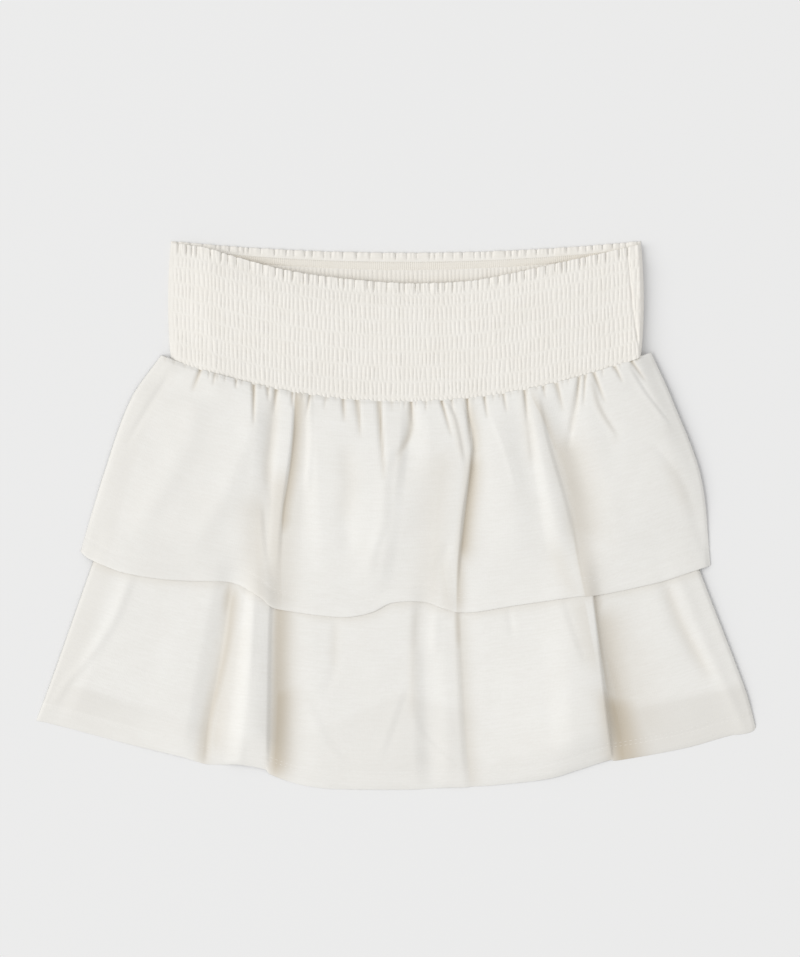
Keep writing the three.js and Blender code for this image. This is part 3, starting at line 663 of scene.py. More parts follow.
# Lines of the cloth: x at the seam, 22% and 58% of the way down and the hem, z at the same places, and the
# y where the line ends.
UPPER_STATIONS = (0, 0.22, 0.58, 1)
UPPER_LINES = [
    ((-129.8, -146.3, -160.6, -174.4), (1.6, 2.6, 2.3, 1.6), -20.1),
    ((-127.0, -143.0, -157.0, -170.5), (2.4, 4.0, 3.8, 2.8), -23.4),
    ((-119.9, -135.3, -149.3, -160.6), (3.8, 5.6, 5.0, 3.8), -27.8),
    ((-106.2, -114.4, -131.5, -149.6), (6.6, 8.2, 7.2, 5.2), -31.6),
    ((-95.7, -101.2, -114.4, -129.8), (8.3, 9.6, 8.6, 7.0), -34.9),
    ((-82.5, -83.6, -92.4, -113.3), (8.3, 10.9, 10.2, 8.2), -36.0),
    ((-77.0, -77.0, -81.4, -90.2), (8.3, 11.1, 10.0, 8.4), -37.1),
    ((-66.4, -68.4, -69.6, -75.0), (8.3, 9.8, 9.0, 9.0), -44.8),
    ((-61.8, -63.4, -67.0, -70.4), (8.3, 10.6, 9.4, 9.0), -49.0),
    ((-57.2, -58.2, -64.0, -67.6), (8.3, 11.0, 9.6, 8.7), -50.8),
    ((-55.0, -55.8, -61.4, -64.0), (8.2, 9.2, 8.6, 8.2), -51.8),
    ((-50.6, -50.1, -53.2, -56.1), (8.3, 9.4, 8.6, 8.3), -53.1),
    ((-42.9, -42.9, -40.7, -37.4), (8.3, 11.2, 10.4, 9.3), -55.5),
    ((-28.1, -27.0, -27.0, -25.3), (8.3, 11.6, 11.0, 9.6), -55.8),
    ((2.2, 1.1, -4.4, -12.7), (8.3, 12.6, 13.0, 11.2), -53.1),
    ((8.3, 7.7, 3.3, -2.2), (8.3, 10.6, 12.3, 10.4), -48.1),
    ((17.6, 19.8, 18.7, 15.4), (8.3, 12.0, 11.6, 10.2), -47.6),
    ((29.5, 33.0, 28.5, 25.6), (8.3, 12.0, 11.8, 11.0), -51.0),
    ((35.0, 40.4, 35.2, 31.8), (8.3, 11.6, 11.6, 10.8), -52.9),
    ((37.2, 42.6, 37.6, 34.4), (8.3, 9.6, 9.3, 9.1), -53.4),
    ((40.6, 46.0, 46.4, 44.0), (8.3, 10.8, 10.0, 9.5), -53.1),
    ((53.4, 57.2, 64.9, 63.8), (8.3, 12.2, 11.6, 9.9), -49.8),
    ((68.6, 72.3, 78.5, 86.2), (8.3, 11.0, 10.8, 9.9), -46.5),
    ((73.6, 77.6, 86.5, 97.0), (8.3, 12.3, 12.2, 10.6), -44.9),
    ((76.8, 81.0, 92.6, 103.6), (8.3, 11.8, 11.1, 9.9), -44.3),
    ((79.6, 83.8, 95.6, 106.8), (8.3, 10.2, 9.6, 9.2), -44.3),
    ((89.5, 95.0, 106.2, 112.6), (8.3, 9.0, 8.2, 8.6), -43.7),
    ((103.4, 106.7, 118.8, 124.3), (8.2, 9.8, 8.7, 8.6), -41.5),
    ((112.2, 115.5, 127.6, 134.2), (7.9, 9.3, 8.3, 7.8), -39.3),
    ((121.0, 127.6, 139.5, 146.6), (7.4, 8.6, 7.7, 6.8), -36.5),
    ((129.8, 142.5, 154.2, 160.5), (6.0, 6.8, 6.2, 5.2), -32.0),
    ((138.2, 150.2, 166.1, 171.6), (3.4, 3.8, 3.2, 2.6), -28.4),
    ((140.8, 152.4, 168.3, 173.8), (2.7, 3.0, 2.5, 2.0), -27.8),
]

# Points of the line along the hems of the shorts, and how clearly it shows at some of their x. Below it the
# lower tier is painted greyer, as shade seen through the thin cloth.
SHORTS_HEM = [
    *((-205, -86), (-172, -95), (-120, -112), (-60, -126), (0, -98)),
    *((35, -106), (60, -124), (125, -108), (205, -90)),
]
SHOWN = [
    *((-175, 1), (-150, 0.8), (-130, 0.3), (-60, 0.1), (-8, 0.5)),
    *((36, 0.5), (44, 0.1), (110, 0.2), (126, 1)),
]
SHORTS_EDGE = 7.0  # how softly it shows
MIDDLE_WIDE = 100.0
SIDE_FADE = 10.0


def upper_hem(x):
    """Height on the sheet of the upper tier's hem above the lower tier."""
    hem_x, hem_y = np.array([(line[0][-1], line[2]) for line in UPPER_LINES]).T
    return np.interp(x, hem_x, hem_y)


def bare_sides(x, side, left, right, wide):
    """How much painted grey shade a tier gets near its side folds, where nothing white lies behind it:
    wholly over this width and less past it, times one value on the left and another on the right."""
    return mix(left, right, smooth(x / MIDDLE_WIDE + 0.5)) * (1 - smooth((side - wide) / SIDE_FADE))


def bare_below(x, y):
    """The same painted grey shade for the lower tier below the legs of the shorts, as far as that shows."""
    leg_x, leg_y = np.array(SHORTS_HEM, float).T
    shown_x, share = np.array(SHOWN, float).T
    return smooth((np.interp(x, leg_x, leg_y) - y) / SHORTS_EDGE + 0.5) * np.interp(x, shown_x, share)


LOWER_COLUMNS = 500
HIDDEN = 0.46  # share of the way down that the upper tier hides, with few rows
FIRM_SIDE = 2.0  # creases and drift start this far inside the side folds
CREASE_EASE = 8.0  # and reach their full height over this width
HEM_FALL = 3.0  # width over which the hem falls towards what it rests on
HEM_LOW = 0.6  # share of its height that it keeps there
DOUBLED = 0.6  # the turned hem is double, so less light goes missing behind it
UNDER_HEM = 0.18  # shade on the cloth just under the upper tier's hem
UNDER_HEM_WIDE = 3.6

lower_lines = [with_seam(line) for line in LOWER_LINES]
lower_v = hem_rows(HIDDEN, 32, 114, LOWER_DEEP)
x, y, z = tier_surface(lower_lines, LOWER_STATIONS, lower_v, spans(lower_lines, LOWER_COLUMNS))
from_left, from_right = x - x[:, :1], x[:, -1:] - x
side = np.minimum(from_left, from_right)
from_hem = (1 - lower_v[:, None]) * LOWER_DEEP
shown = smooth((lower_v[:, None] - 0.5) / 0.08)
wrinkle = creases(x, y, LOWER_CREASES) + drift(x, y, DRIFT_HIGH, seed=23)
z = z + shown * smooth((side - FIRM_SIDE) / CREASE_EASE) * wrinkle
z = z * rolled(from_left, from_right) * mix(HEM_LOW, 1, smooth(from_hem / HEM_FALL))
lower_points, thick = hemmed(x, y, z, side, lower_v, LOWER_DEEP)
# Painted shade: grey where nothing white lies behind the thin cloth, less on the double hem; below, the fold
# mark paints shade in the deep folds and just under the upper tier's hem.
shade_seen_through = np.maximum(bare_below(x, y), bare_sides(x, side, 1, 0.15, wide=8))
hem_share = mix(DOUBLED, 1, smooth((from_hem - HEM_DEEP) / 1.5))
hem_share = mix(hem_share, 1, smooth((x - 100) / 10))
lower_front = wall(
    "lower_tier_front_cloth",
    *lay(lower_points, thick),
    tier_cloth,
    fold=np.maximum(shades(x, y, LOWER_SHADES), UNDER_HEM * bell(upper_hem(x) - y, UNDER_HEM_WIDE)),
    single=shade_seen_through * hem_share,
)
lower_hem_stitches = hem_stitches("lower_hem_stitches", lower_points, lower_v, LOWER_DEEP)
place(lower_front, "lower_tier_front")

# ---- Upper tier, front ----
# A shorter strip of the same jersey gathered into the waistband's seam over the lower tier. Its folds form
# where the gathers are deepest, and its stitched hem rests on the lower tier.

UPPER_DEEP = 115.0
UPPER_COLUMNS = 560
PUFF = 1.3  # how far the cloth swells up between the gathers, just below the seam
SLIT_SHARE = 0.6  # share of their table's depth that the gathers have
FINE_PITCH = 4.6  # of the fine gathers, and then the ranges of their reach, depth and width
FINE_REACH = (2.5, 6)
FINE_DEPTH = (0.4, 1.0)
FINE_WIDTH = (0.5, 0.9)
FINE_SHIFT = 1.2
SLIT_SHADE = 1.8  # a gather this deep is wholly shaded
EDGE_Z = 0.3  # height of its side folds over the surface
LAYER_GAP = 0.1
# Gathers that run down from the seam as narrow slits: x at the seam, how far down they reach, depth, width
# and how far they lean sideways.
GATHERS = [
    (-107.3, 15, 2.2, 1.1, -5),
    (-99.5, 8, 1.4, 0.9, -1),
    (-88.0, 6, 1.2, 0.9, 0),
    (-78.1, 24, 2.6, 1.1, 0),
    (-71.0, 9, 1.6, 1.0, 1),
    (-66.0, 16, 2.6, 1.3, -1),
    (-57.0, 10, 2.0, 1.0, 0),
    (-47.3, 14, 2.0, 1.0, -2),
    (-38.5, 8, 1.2, 0.9, -1),
    (-29.2, 14, 2.2, 1.1, 1),
    (-21.5, 22, 2.6, 1.1, 2),
    (-9.4, 45, 2.6, 1.2, 3),
    (-2.0, 7, 1.2, 0.9, 0),
    (8.2, 14, 2.4, 1.2, 1),
    (16.5, 7, 1.2, 0.9, 0),
    (24.8, 22, 2.2, 1.0, 6),
    (30.5, 9, 1.4, 0.9, 1),
    (39.1, 30, 2.6, 1.1, 2),
    (48.4, 14, 1.8, 1.0, 2),
    (58.9, 12, 1.6, 1.0, 2),
    (70.5, 20, 2.2, 1.2, 2),
    (81.0, 9, 1.4, 0.9, 1),
    (88.0, 18, 2.0, 1.2, 4),
    (100.7, 22, 2.2, 1.1, -2),
    (104.0, 18, 1.8, 0.9, -1),
    (108.4, 20, 2.0, 1.1, 7),
    (120.0, 12, 1.8, 1.0, 5),
    (129.0, 16, 1.8, 1.0, 9),
]


def gathers(x, down, table, seed):
    """Depth of the gathers at x, a distance down from the seam. Each is a narrow bell across that closes
    towards its lower end, and between those of the table lie fine short ones at uneven distances."""
    rng = np.random.default_rng(seed)
    count = int(2 * WAIST_HALF / FINE_PITCH)
    shift = rng.uniform(-FINE_SHIFT, FINE_SHIFT, count)
    fine_x = np.linspace(-WAIST_HALF, WAIST_HALF, count) + SEAM_X + shift
    reaches, deeps, wides = (rng.uniform(*span, count) for span in (FINE_REACH, FINE_DEPTH, FINE_WIDTH))
    depth = np.zeros_like(x)
    for at, reach, deep, wide, lean in [*table, *zip(fine_x, reaches, deeps, wides, np.zeros(count))]:
        along = down / reach
        shape = np.clip(1 - along, 0, 1) ** 0.8 * smooth(0.6 + 3 * along)
        depth += deep * shape * bell(x - at - lean * along, wide)
    return depth


UPPER_CREASES = [
    ([(-126, 76), (-136, 60), (-148, 41)], -0.5, 2.6, -0.5, 2.6),
    ([(-109, 62), (-115.5, 38), (-127, 15), (-135.5, 2), (-144.5, -16)], 0.9, 9.0, 0.8, 7.0),
    ([(-77, 60), (-79, 44), (-90, 17), (-105, -10), (-115, -33)], 0.8, 8.0, 0.6, 7.0),
    ([(-66, 66), (-67.8, 44), (-70, 28), (-69.5, 14)], -0.6, 3.0, -0.5, 3.0),
    ([(-73.5, 2), (-72.5, -14), (-70, -32), (-67.5, -52)], 0.2, 3.0, -0.5, 4.0),
    ([(-48, 67), (-47, 42), (-48.5, 17)], 0.5, 2.0, 0.5, 2.0),
    ([(-27.5, 36), (-26, 20), (-27, 0), (-26, -20)], -0.6, 5.0, -0.6, 5.0),
    ([(-2, 37), (-4, 22), (-5.5, -4), (-11, -20), (-13, -33)], 0.5, 5.0, -0.15, 7.0),
    ([(7.5, 67), (9.5, 58), (9, 48), (5.5, 40), (0.5, 32)], -0.6, 2.6, -0.6, 2.6),
    ([(25, 66), (31, 57), (34, 47), (37, 31)], 0.3, 2.6, -0.45, 2.4),
    ([(28.5, -15), (25, -31), (29, -49)], -0.6, 3.5, -0.6, 3.0),
    ([(53.5, 54), (61, 34), (65.5, 17)], 0.4, 2.6, 0.3, 5.0),
    ([(70.5, 71), (71.5, 59), (72.8, 50), (74.5, 31)], 0.25, 4.0, -0.25, 5.0),
    ([(88, 62), (93, 44), (98.5, 31), (102.5, 12)], -0.4, 5.0, -0.4, 5.0),
    ([(100.5, 75), (98, 58), (95, 39)], -0.6, 1.6, -0.6, 1.6),
    ([(108, 73), (112, 59), (120.5, 45)], 0.3, 3.2, -0.3, 3.4),
    ([(129, 81), (138.5, 66), (150.5, 51)], 0.3, 3.0, -0.4, 2.8),
    ([(143.5, 39), (152, 29), (161.5, 15), (170.5, -12)], -0.5, 5.0, -0.3, 6.0),
]
# Painted shade in the upper tier's deep folds, in the same columns as the lower tier's.
UPPER_SHADES = [
    ([(-66, 66), (-68, 44), (-70.2, 28), (-69.5, 14)], 0.25, 3.5, 0.25, 3.0),
    ([(-55.4, 70), (-56.5, 48), (-58.3, 29), (-60.4, 15), (-62.4, 5), (-63.5, -10)], 0.0, 1.0, 0.75, 5.5),
    ([(-60, 22), (-62, -8), (-63, -30), (-63, -52)], 0.34, 11.0, 0.26, 9.0),
    ([(-77, 10), (-77, -20), (-75, -52)], 0.22, 9.0, 0.26, 9.0),
    ([(25, 34), (22, 0), (19, -50)], 0.16, 10.0, 0.18, 8.0),
    ([(-27, 36), (-26, 18), (-27, 0)], 0.12, 6.0, 0.12, 6.0),
    ([(8.2, 64), (7.5, 46), (2, 34)], 0.4, 2.0, 0.4, 2.0),
    ([(30, 62), (34, 47), (37, 31)], 0.2, 2.4, 0.2, 2.2),
    ([(36.9, 66), (41.6, 44), (40.9, 22), (37.2, -2), (34, -22), (33.2, -52)], 0.1, 3.0, 0.55, 4.4),
    ([(41, 34), (39.2, 14), (36.8, -6), (34.8, -24)], 0.3, 3.0, 0.85, 6.0),
    ([(25, -22), (28, -38), (31, -54)], 0.2, 7.0, 0.16, 5.0),
    ([(70.5, 71), (72.8, 50), (74.5, 31)], 0.2, 3.0, 0.14, 3.4),
    ([(74, 66), (80, 54), (85.7, 40), (92.3, 25), (95.8, 2), (98.6, -18), (105.5, -52)], 0.1, 3.0, 0.4, 4.0),
    ([(83, 46), (92, 25), (97, 2), (100.6, -18), (106.5, -52)], 0.2, 3.0, 0.36, 9.0),
    ([(88, 42), (93, 24), (97, 8), (100, -14)], 0.34, 5.0, 0.42, 13.0),
    ([(87, -16), (92, -30), (98, -44)], 0.15, 6.0, 0.15, 5.0),
    ([(100.5, 72), (98, 58), (95.5, 44)], 0.2, 2.0, 0.2, 2.0),
    ([(108, 73), (112, 59), (120.5, 45)], 0.2, 2.0, 0.2, 2.0),
    ([(150, 30), (156, 16), (161, 4)], 0.12, 5.0, 0.12, 4.0),
]

NET = 300  # squares along each side of the net
SQUARE = 1.5
EMPTY = -1.0


def height_map(x, y, z):
    """The greatest height of a sheet over each square of a flat net, filled a little past the sheet's edges.
    The answer reads it at any place, smoothly between the squares' middles."""
    net = np.full((NET, NET), EMPTY)
    column, row = ((at / SQUARE + NET / 2).astype(int) for at in (x, y))
    np.maximum.at(net, (row, column), z)
    for _ in range(3):
        grown = np.max([np.roll(net, move, axis) for move in (-1, 1) for axis in (0, 1)], axis=0)
        net = np.where(net < 0, grown, net)
    net = np.maximum(net, 0)
    for axis in 3 * (0, 1):
        net = (np.roll(net, 1, axis) + net + np.roll(net, -1, axis)) / 3

    def read(x, y):
        right, up = x / SQUARE + NET / 2 - 0.5, y / SQUARE + NET / 2 - 0.5
        i, j = right.astype(int), up.astype(int)
        s, t = right - i, up - j
        return mix(mix(net[j, i], net[j, i + 1], s), mix(net[j + 1, i], net[j + 1, i + 1], s), t)

    return read


def at_least(z, low):
    """z, but eased so that it never goes below low."""
    return low + np.logaddexp(0, 3 * (z - low)) / 3


lower_top = height_map(*lower_points.transpose(2, 0, 1))
upper_v = hem_rows(0.16, 34, 96, UPPER_DEEP)
x, y, z = tier_surface(UPPER_LINES, UPPER_STATIONS, upper_v, spans(UPPER_LINES, UPPER_COLUMNS))
from_left, from_right = x - x[:, :1], x[:, -1:] - x
side = np.minimum(from_left, from_right)
from_seam = seam_y(x) - y
puff = PUFF * smooth(from_seam / 3) * (1 - smooth((from_seam - 5) / 14))
slits = SLIT_SHARE * gathers(x, from_seam, GATHERS, seed=3)
z = z + smooth(side / CREASE_EASE) * (puff - slits)
wrinkle = creases(x, y, UPPER_CREASES) + drift(x, y, DRIFT_HIGH, seed=11)
z = z + smooth((from_seam + 1) / 6) * smooth((side - FIRM_SIDE) / CREASE_EASE) * wrinkle
z = z * rolled(from_left, from_right)
floor_z = mix(EDGE_Z, lower_top(x, y) + JERSEY + LAYER_GAP, smooth(side / 3))
z = mix(z, floor_z, smooth((upper_v[:, None] - 0.6) / 0.4))
z = at_least(z, floor_z)
upper_points, thick = hemmed(x, y, z, side, upper_v, UPPER_DEEP)
# Painted shade: grey near the sides and more on the far left, where the cloth slopes up towards the lamp;
# warm and darker in the deep folds and the gathers' slits.
far_left_shade = smooth((-80 - x) / 30)
upper_front = wall(
    "upper_tier_front_cloth",
    *lay(upper_points, thick),
    tier_cloth,
    fold=np.maximum(shades(x, y, UPPER_SHADES), slits / SLIT_SHADE),
    single=np.maximum(bare_sides(x, side, 0.8, 0.1, wide=10), 0.35 * far_left_shade),
)
upper_hem_stitches = hem_stitches("upper_hem_stitches", upper_points, upper_v, UPPER_DEEP)
place(upper_front, "upper_tier_front")

# ---- Waistband, front ----
# Jersey shirred on rows of elastic thread, so that it stands in fine upright ribs pinched at each row. Above
# the first row the loose edge makes a frill, and the last row holds the tiers under a narrow lip.

BAND_BULGE = 1.5
BAND_DEEP = 62.6
BAND_LOW_Z = 2.7
BAND_WALL = 2.4
BAND_LIFT = 2.0
EDGE_DROP = 2.0  # how much lower its top edge lies, and over what depth it goes down
EDGE_WIDE = 15.0
SIDE_LOW_Z = 0.5
SIDE_WALL = 0.8
LEFT_SLOPE = 24.0  # widths over which it rises from its two side folds
RIGHT_SLOPE = 2.4
RIB_SLOPES = (5.0, 0.8)  # and its ribs and frill from those folds
LIP = 0.9  # how far the lip comes down over the tiers' seam
LIP_LIFT = 1.1  # how much the band rises to it, from a depth and over the next few millimetres
LIP_FROM = 46.0
LIP_OVER = 14.0
LIP_SCALLOP = 0.06  # how far its edge dips at each rib
FRONT_TOP = [
    *((-124.3, 150.6), (-105, 147.6), (-90, 143), (-61, 135.3), (-33, 131), (-5, 128.4), (16, 127.9)),
    *((41, 129.3), (61, 132.8), (85, 138.2), (107, 143), (126, 147.4), (135.3, 149.6)),
]
ELASTIC_ROWS = np.array([6.6, 12.4, 20.35, 28.3, 36.25, 44.2, 52.15, 60.1])
PINCH_WIDE = 0.9
PINCHED = 0.62  # share of their height at which the rows hold the ribs
RIBS = 108
RIB_HIGH = 0.6
FRILL_DEEP = 6.6
LOBES = 75  # in a frill, and the ends of the row lie beyond the band
LOBE_WIDE = (2.6, 7.6)
LOBE_ROUND = 1.6  # width over which a lobe rises from its slit
LOBE_HIGH = 0.5
RIPPLE_HIGH = 0.14
SLIT_WIDE = 0.28
SLIT_DEEP = 0.6
SIDE_SEAM = [(0, 127.5), (22, 129.3), (44, 131.8), (56, 133.7), (63, 136.4)]  # depth down the band, and x
SIDE_SEAM_DEEP = 0.6
SIDE_SEAM_WIDE = 0.6
SMOCKED_PALE = (0.843, 0.82, 0.775)
SMOCKED_DEEP = (0.817, 0.788, 0.734)


def band_x(u, deep):
    """Place across of column u at a depth below the frill's edge. Half-way down the band is a bit wider."""
    return WAIST_X + (2 * u - 1) * (WAIST_HALF + BAND_BULGE * (1 - (2 * deep / BAND_DEEP - 1) ** 2))


def from_side(u, left=LEFT_SLOPE, right=RIGHT_SLOPE):
    """0 at the band's folded sides, rising to 1 so far inside the left one and the right one."""
    from_left = 1 - (1 - np.clip(2 * WAIST_HALF * u / left, 0, 1)) ** 1.5
    from_right = np.sin(math.pi / 2 * np.clip(2 * WAIST_HALF * (1 - u) / right, 0, 1))
    return np.minimum(from_left, from_right)


def front_top_y(x):
    """Height on the sheet of the front's top edge: a smooth curve through its places."""
    top_x, top_y = np.array(FRONT_TOP).T
    return curves(top_x, top_y[None], *cells(top_x, x))[0]


def uneven(places, pitch, seed):
    """A smooth random line that lies within 1 of zero, through a new random height at each pitch."""
    rng = np.random.default_rng(seed)
    low = places.min() - pitch
    knots = low + pitch * np.arange(int((places.max() - low) / pitch) + 3)
    cell, share = cells(knots, places)
    heights = rng.uniform(-1, 1, len(knots))
    return mix(heights[cell], heights[cell + 1], smooth(share))


def ribbing(x, deep, rows, seed):
    """Upright ribs between rows of elastic, as heights from 0 to 1. Each cell between two rows has ribs of
    its own that lean and differ a little in width and height, and they meet where the rows pinch them."""
    cell, share = cells(np.concatenate([[-2], rows, [BAND_DEEP + 4]]), deep)
    height = np.zeros_like(x)
    for k in range(len(rows) + 1):
        shift = 0.3 * uneven(x, 7, seed + k) + 0.28 * uneven(x, 2.3, seed + 50 + k) * (share - 0.5)
        turn = RIBS * x / (2 * WAIST_HALF) + shift
        crest = np.abs(np.sin(math.pi * turn)) ** 0.45
        tall = 0.9 + 0.2 * uneven(x, 2.9, seed + 100 + k)
        height += (cell == k) * tall * crest
    return height


def frill(x, deep, frill_deep, seed):
    """Height of a loose frill, and how far its edge stands up: rounded lobes of uneven width that grow
    towards the edge, with a deep slit between each and the next."""
    rng = np.random.default_rng(seed)
    slits = np.cumsum(np.concatenate([[-150], rng.uniform(*LOBE_WIDE, LOBES)]))
    lobe, share = cells(slits, x)
    grow = smooth(1.2 * (1 - deep / frill_deep))
    from_slit = np.diff(slits)[lobe] * np.minimum(share, 1 - share)
    slit = bell(from_slit, SLIT_WIDE) * smooth(1.6 * grow)
    round_top = np.sqrt(np.clip(from_slit / LOBE_ROUND, 0, 1))
    tall = rng.uniform(-0.2, 0.5, LOBES)[lobe] * round_top
    waves = rng.integers(1, 4, LOBES)[lobe]
    ripple = RIPPLE_HIGH * np.sin(2 * math.pi * share * waves + lobe) * round_top
    stand = grow * (LOBE_HIGH * round_top - 0.35 + 0.4 * ripple)
    return grow * (LOBE_HIGH * round_top + tall + ripple) - SLIT_DEEP * slit, stand


def between_rows(rows, edge, count):
    """Depths from 0 to the edge with count steps in each cell between two rows, close near the rows."""
    stops = np.concatenate([[0], rows, [edge]])
    share = np.arange(count) / count
    share = share - 0.1 * np.sin(2 * math.pi * share)
    return np.append((stops[:-1, None] + np.diff(stops)[:, None] * share).ravel(), edge)


band_cloth = cloth_material(
    "smocked_jersey", SMOCKED_PALE, SMOCKED_DEEP, wale=0.0008, course=0.00065, roughness=0.82, bump=0.3
)

u, deep = np.meshgrid(np.linspace(0, 1, RIBS * 8 + 1), between_rows(ELASTIC_ROWS, BAND_DEEP, 10))
x = band_x(u, deep)
flat_side = from_side(u)
inside = from_side(u, *RIB_SLOPES)
pinch = bell(np.abs(deep[:, :, None] - ELASTIC_ROWS).min(axis=2), PINCH_WIDE)
ribs = RIB_HIGH * mix(ribbing(x, deep, ELASTIC_ROWS, seed=40), PINCHED, 0.9 * pinch)
ribs = ribs * (1 - 0.65 * smooth(1 - deep / FRILL_DEEP))
lobes, edge = frill(x, deep, FRILL_DEEP, seed=5)
lift = mix(np.sqrt(smooth(3 * np.minimum(u, 1 - u))), 0.4, smooth((u - 0.92) / 0.08))
low = mix(SIDE_LOW_Z, BAND_LOW_Z, flat_side) + BAND_LIFT * lift
low = low - EDGE_DROP * flat_side * smooth(1 - deep / EDGE_WIDE)
lip_lift = LIP_LIFT * smooth((deep - LIP_FROM) / LIP_OVER)
z = low + mix(SIDE_WALL, BAND_WALL, flat_side) + inside * (ribs + lobes + lip_lift)
z = z - SIDE_SEAM_DEEP * bell(x - np.interp(deep, *np.array(SIDE_SEAM).T), SIDE_SEAM_WIDE)
top_y, bottom_y = front_top_y(band_x(u, 0)), seam_y(band_x(u, BAND_DEEP)) - LIP
scallop = LIP_SCALLOP * np.sin(math.pi * RIBS * x / (2 * WAIST_HALF)) ** 2 * smooth((deep - 59) / 3)
y = mix(top_y, bottom_y, deep / BAND_DEEP) + inside * edge - scallop
outer = np.stack([x, y, z], axis=2)
inner_z = low + 0.4 * flat_side + np.minimum(0, 0.6 * lobes) + lip_lift * inside
inner = every(np.stack([x, y, inner_z], axis=2), 6)
# Painted grey shade on the band's left fold, where it turns down to the surface.
left_fold_shade = 0.7 * (1 - flat_side) * (u < 0.5)
band_front = wall("waistband_front_cloth", outer, inner, band_cloth, single=left_fold_shade)
place(band_front, "waistband_front")

# ---- Waistband, back, and its tape ----
# The back of the same band, seen from inside above the front's edge: its own frill, then the ribs. It lies
# flat on its outer face. A soft elastic tape with fine knit ribs is stitched flat round it, under the frill.

HALF_LENGTH = 151.5
BACK_TOP_SAG = 6.5
BACK_LOW_Z = 0.4
BACK_WALL = 1.6
BACK_FRILL = 3.9
BACK_ROWS = np.array([BACK_FRILL, 17.0, 60.0])
BACK_RIB_HIGH = 0.5
BACK_RIB_SLOPES = (5.0, 4.0)
TAPE_STEP = 0.2  # how much higher the band's cloth stands below the tape
TAPE_WIDE = 3.5
TAPE_LOW_Z = 1.65
TAPE_THICK = 0.5
TAPE_ENDS = (0.04, 0.96)  # shares of the way across
TAPE_RIBS = 210
TAPE_RIB_HIGH = 0.16
TAPE_ROLL = 0.4  # how far its two edges roll down
TAPE_PALE = (0.83, 0.8, 0.74)
TAPE_DEEP = (0.8, 0.765, 0.7)


def back_band_y(u, deep):
    """Height on the sheet of the back band at a depth below its top edge, which dips in the middle."""
    top = HALF_LENGTH - BACK_TOP_SAG * (1 - (2 * u - 1) ** 2)
    return mix(top, seam_y(band_x(u, BAND_DEEP)) + GAP, deep / BAND_DEEP)


def inside_shade(x, y, deep):
    """How shaded the inside of the waist is: more towards the front's edge over it and in its two corners,
    and not on the frill."""
    near = bell(y - front_top_y(x), 4.5)
    corner = smooth((np.abs(x - 12) - 62) / 40)
    return smooth((deep - BACK_FRILL + 0.4) / 0.8) * (0.05 + 0.08 * near + 0.13 * corner)


back_deeps = np.concatenate([np.linspace(0, 26, 60), np.linspace(28, BAND_DEEP, 12)])
u, deep = np.meshgrid(np.linspace(0, 1, RIBS * 6 + 1), back_deeps)
x = band_x(u, deep)
flat_side = from_side(u)
inside = from_side(u, *BACK_RIB_SLOPES)
lobes, edge = frill(x, deep, BACK_FRILL, seed=9)
below_tape = smooth((deep - BACK_FRILL - TAPE_WIDE + 0.6) / 1.2) * (1 - 0.5 * smooth((deep - 20) / 8))
ribs = BACK_RIB_HIGH * ribbing(x, deep, BACK_ROWS, seed=70) * below_tape
step = TAPE_STEP * smooth((deep - BACK_FRILL - TAPE_WIDE + 0.8) / 0.8)
z = mix(BACK_LOW_Z, BACK_WALL - 0.7 * smooth(1 - deep / 3), flat_side)
z = z + inside * (step + ribs + 0.8 * lobes)
y = back_band_y(u, deep) + inside * edge
outer = np.stack([x, y, z], axis=2)
inner = every(outer, 6) * (1, 1, 0)
band_back = wall("waistband_back_cloth", outer, inner, band_cloth, fold=inside_shade(x, y, deep))

tape_cloth = cloth_material("waist_tape", TAPE_PALE, TAPE_DEEP, 0.0011, 0.0009, roughness=0.75, bump=0.6)
u, down = np.meshgrid(np.linspace(*TAPE_ENDS, 4 * TAPE_RIBS + 1), np.linspace(0, 1, 9))
deep = BACK_FRILL + down * TAPE_WIDE
x, y = band_x(u, deep), back_band_y(u, deep)
roll = TAPE_ROLL * (2 * down - 1) ** 6 - 0.06 * uneven(x, 5, 31)
roll = roll + TAPE_RIB_HIGH * np.sin(math.pi * TAPE_RIBS * (u - TAPE_ENDS[0]) / np.ptp(TAPE_ENDS)) ** 2
outer = np.stack([x, y, TAPE_LOW_Z + TAPE_THICK - roll], axis=2)
inner = every(np.stack([x, y, np.full_like(x, TAPE_LOW_Z)], axis=2), 4)
tape = wall("waist_tape_cloth", outer, inner, tape_cloth, fold=inside_shade(x, y, deep))
place(tape, "waist_tape_back")
place(band_back, "waistband_back")

# ---- Back tiers ----
# The same two strips again on the back. They lie flat on the surface, the lower one on the upper one, with a
# few soft creases pressed into them.

BACK_INSET = 3.0
BACK_DRIFT = 0.12
ON_UPPER = 1.3  # height of the lower one where it lies on the upper one
BACK_CREASES = [
    ([(-120, 60), (-132, 20), (-140, -20)], 0.5, 3.0, 0.5, 2.4),
    ([(-70, 62), (-76, 20), (-70, -30)], 0.6, 2.4, 0.6, 1.9),
    ([(-18, 60), (-10, 10), (-16, -36)], 0.45, 3.0, 0.45, 2.4),
    ([(36, 60), (44, 16), (38, -30)], 0.6, 2.2, 0.6, 1.8),
    ([(84, 66), (98, 16), (110, -24)], 0.5, 2.8, 0.5, 2.2),
    ([(128, 74), (146, 30), (156, -10)], 0.4, 2.4, 0.4, 1.9),
    ([(-104, -40), (-112, -80), (-120, -116)], 0.5, 3.0, 0.5, 2.4),
    ([(-44, -50), (-40, -96), (-50, -138)], 0.6, 2.4, 0.6, 1.9),
    ([(12, -50), (20, -92), (16, -140)], 0.45, 3.0, 0.45, 2.4),
    ([(70, -50), (78, -92), (74, -136)], 0.6, 2.4, 0.6, 1.9),
    ([(132, -44), (148, -84), (158, -114)], 0.5, 2.8, 0.5, 2.2),
]


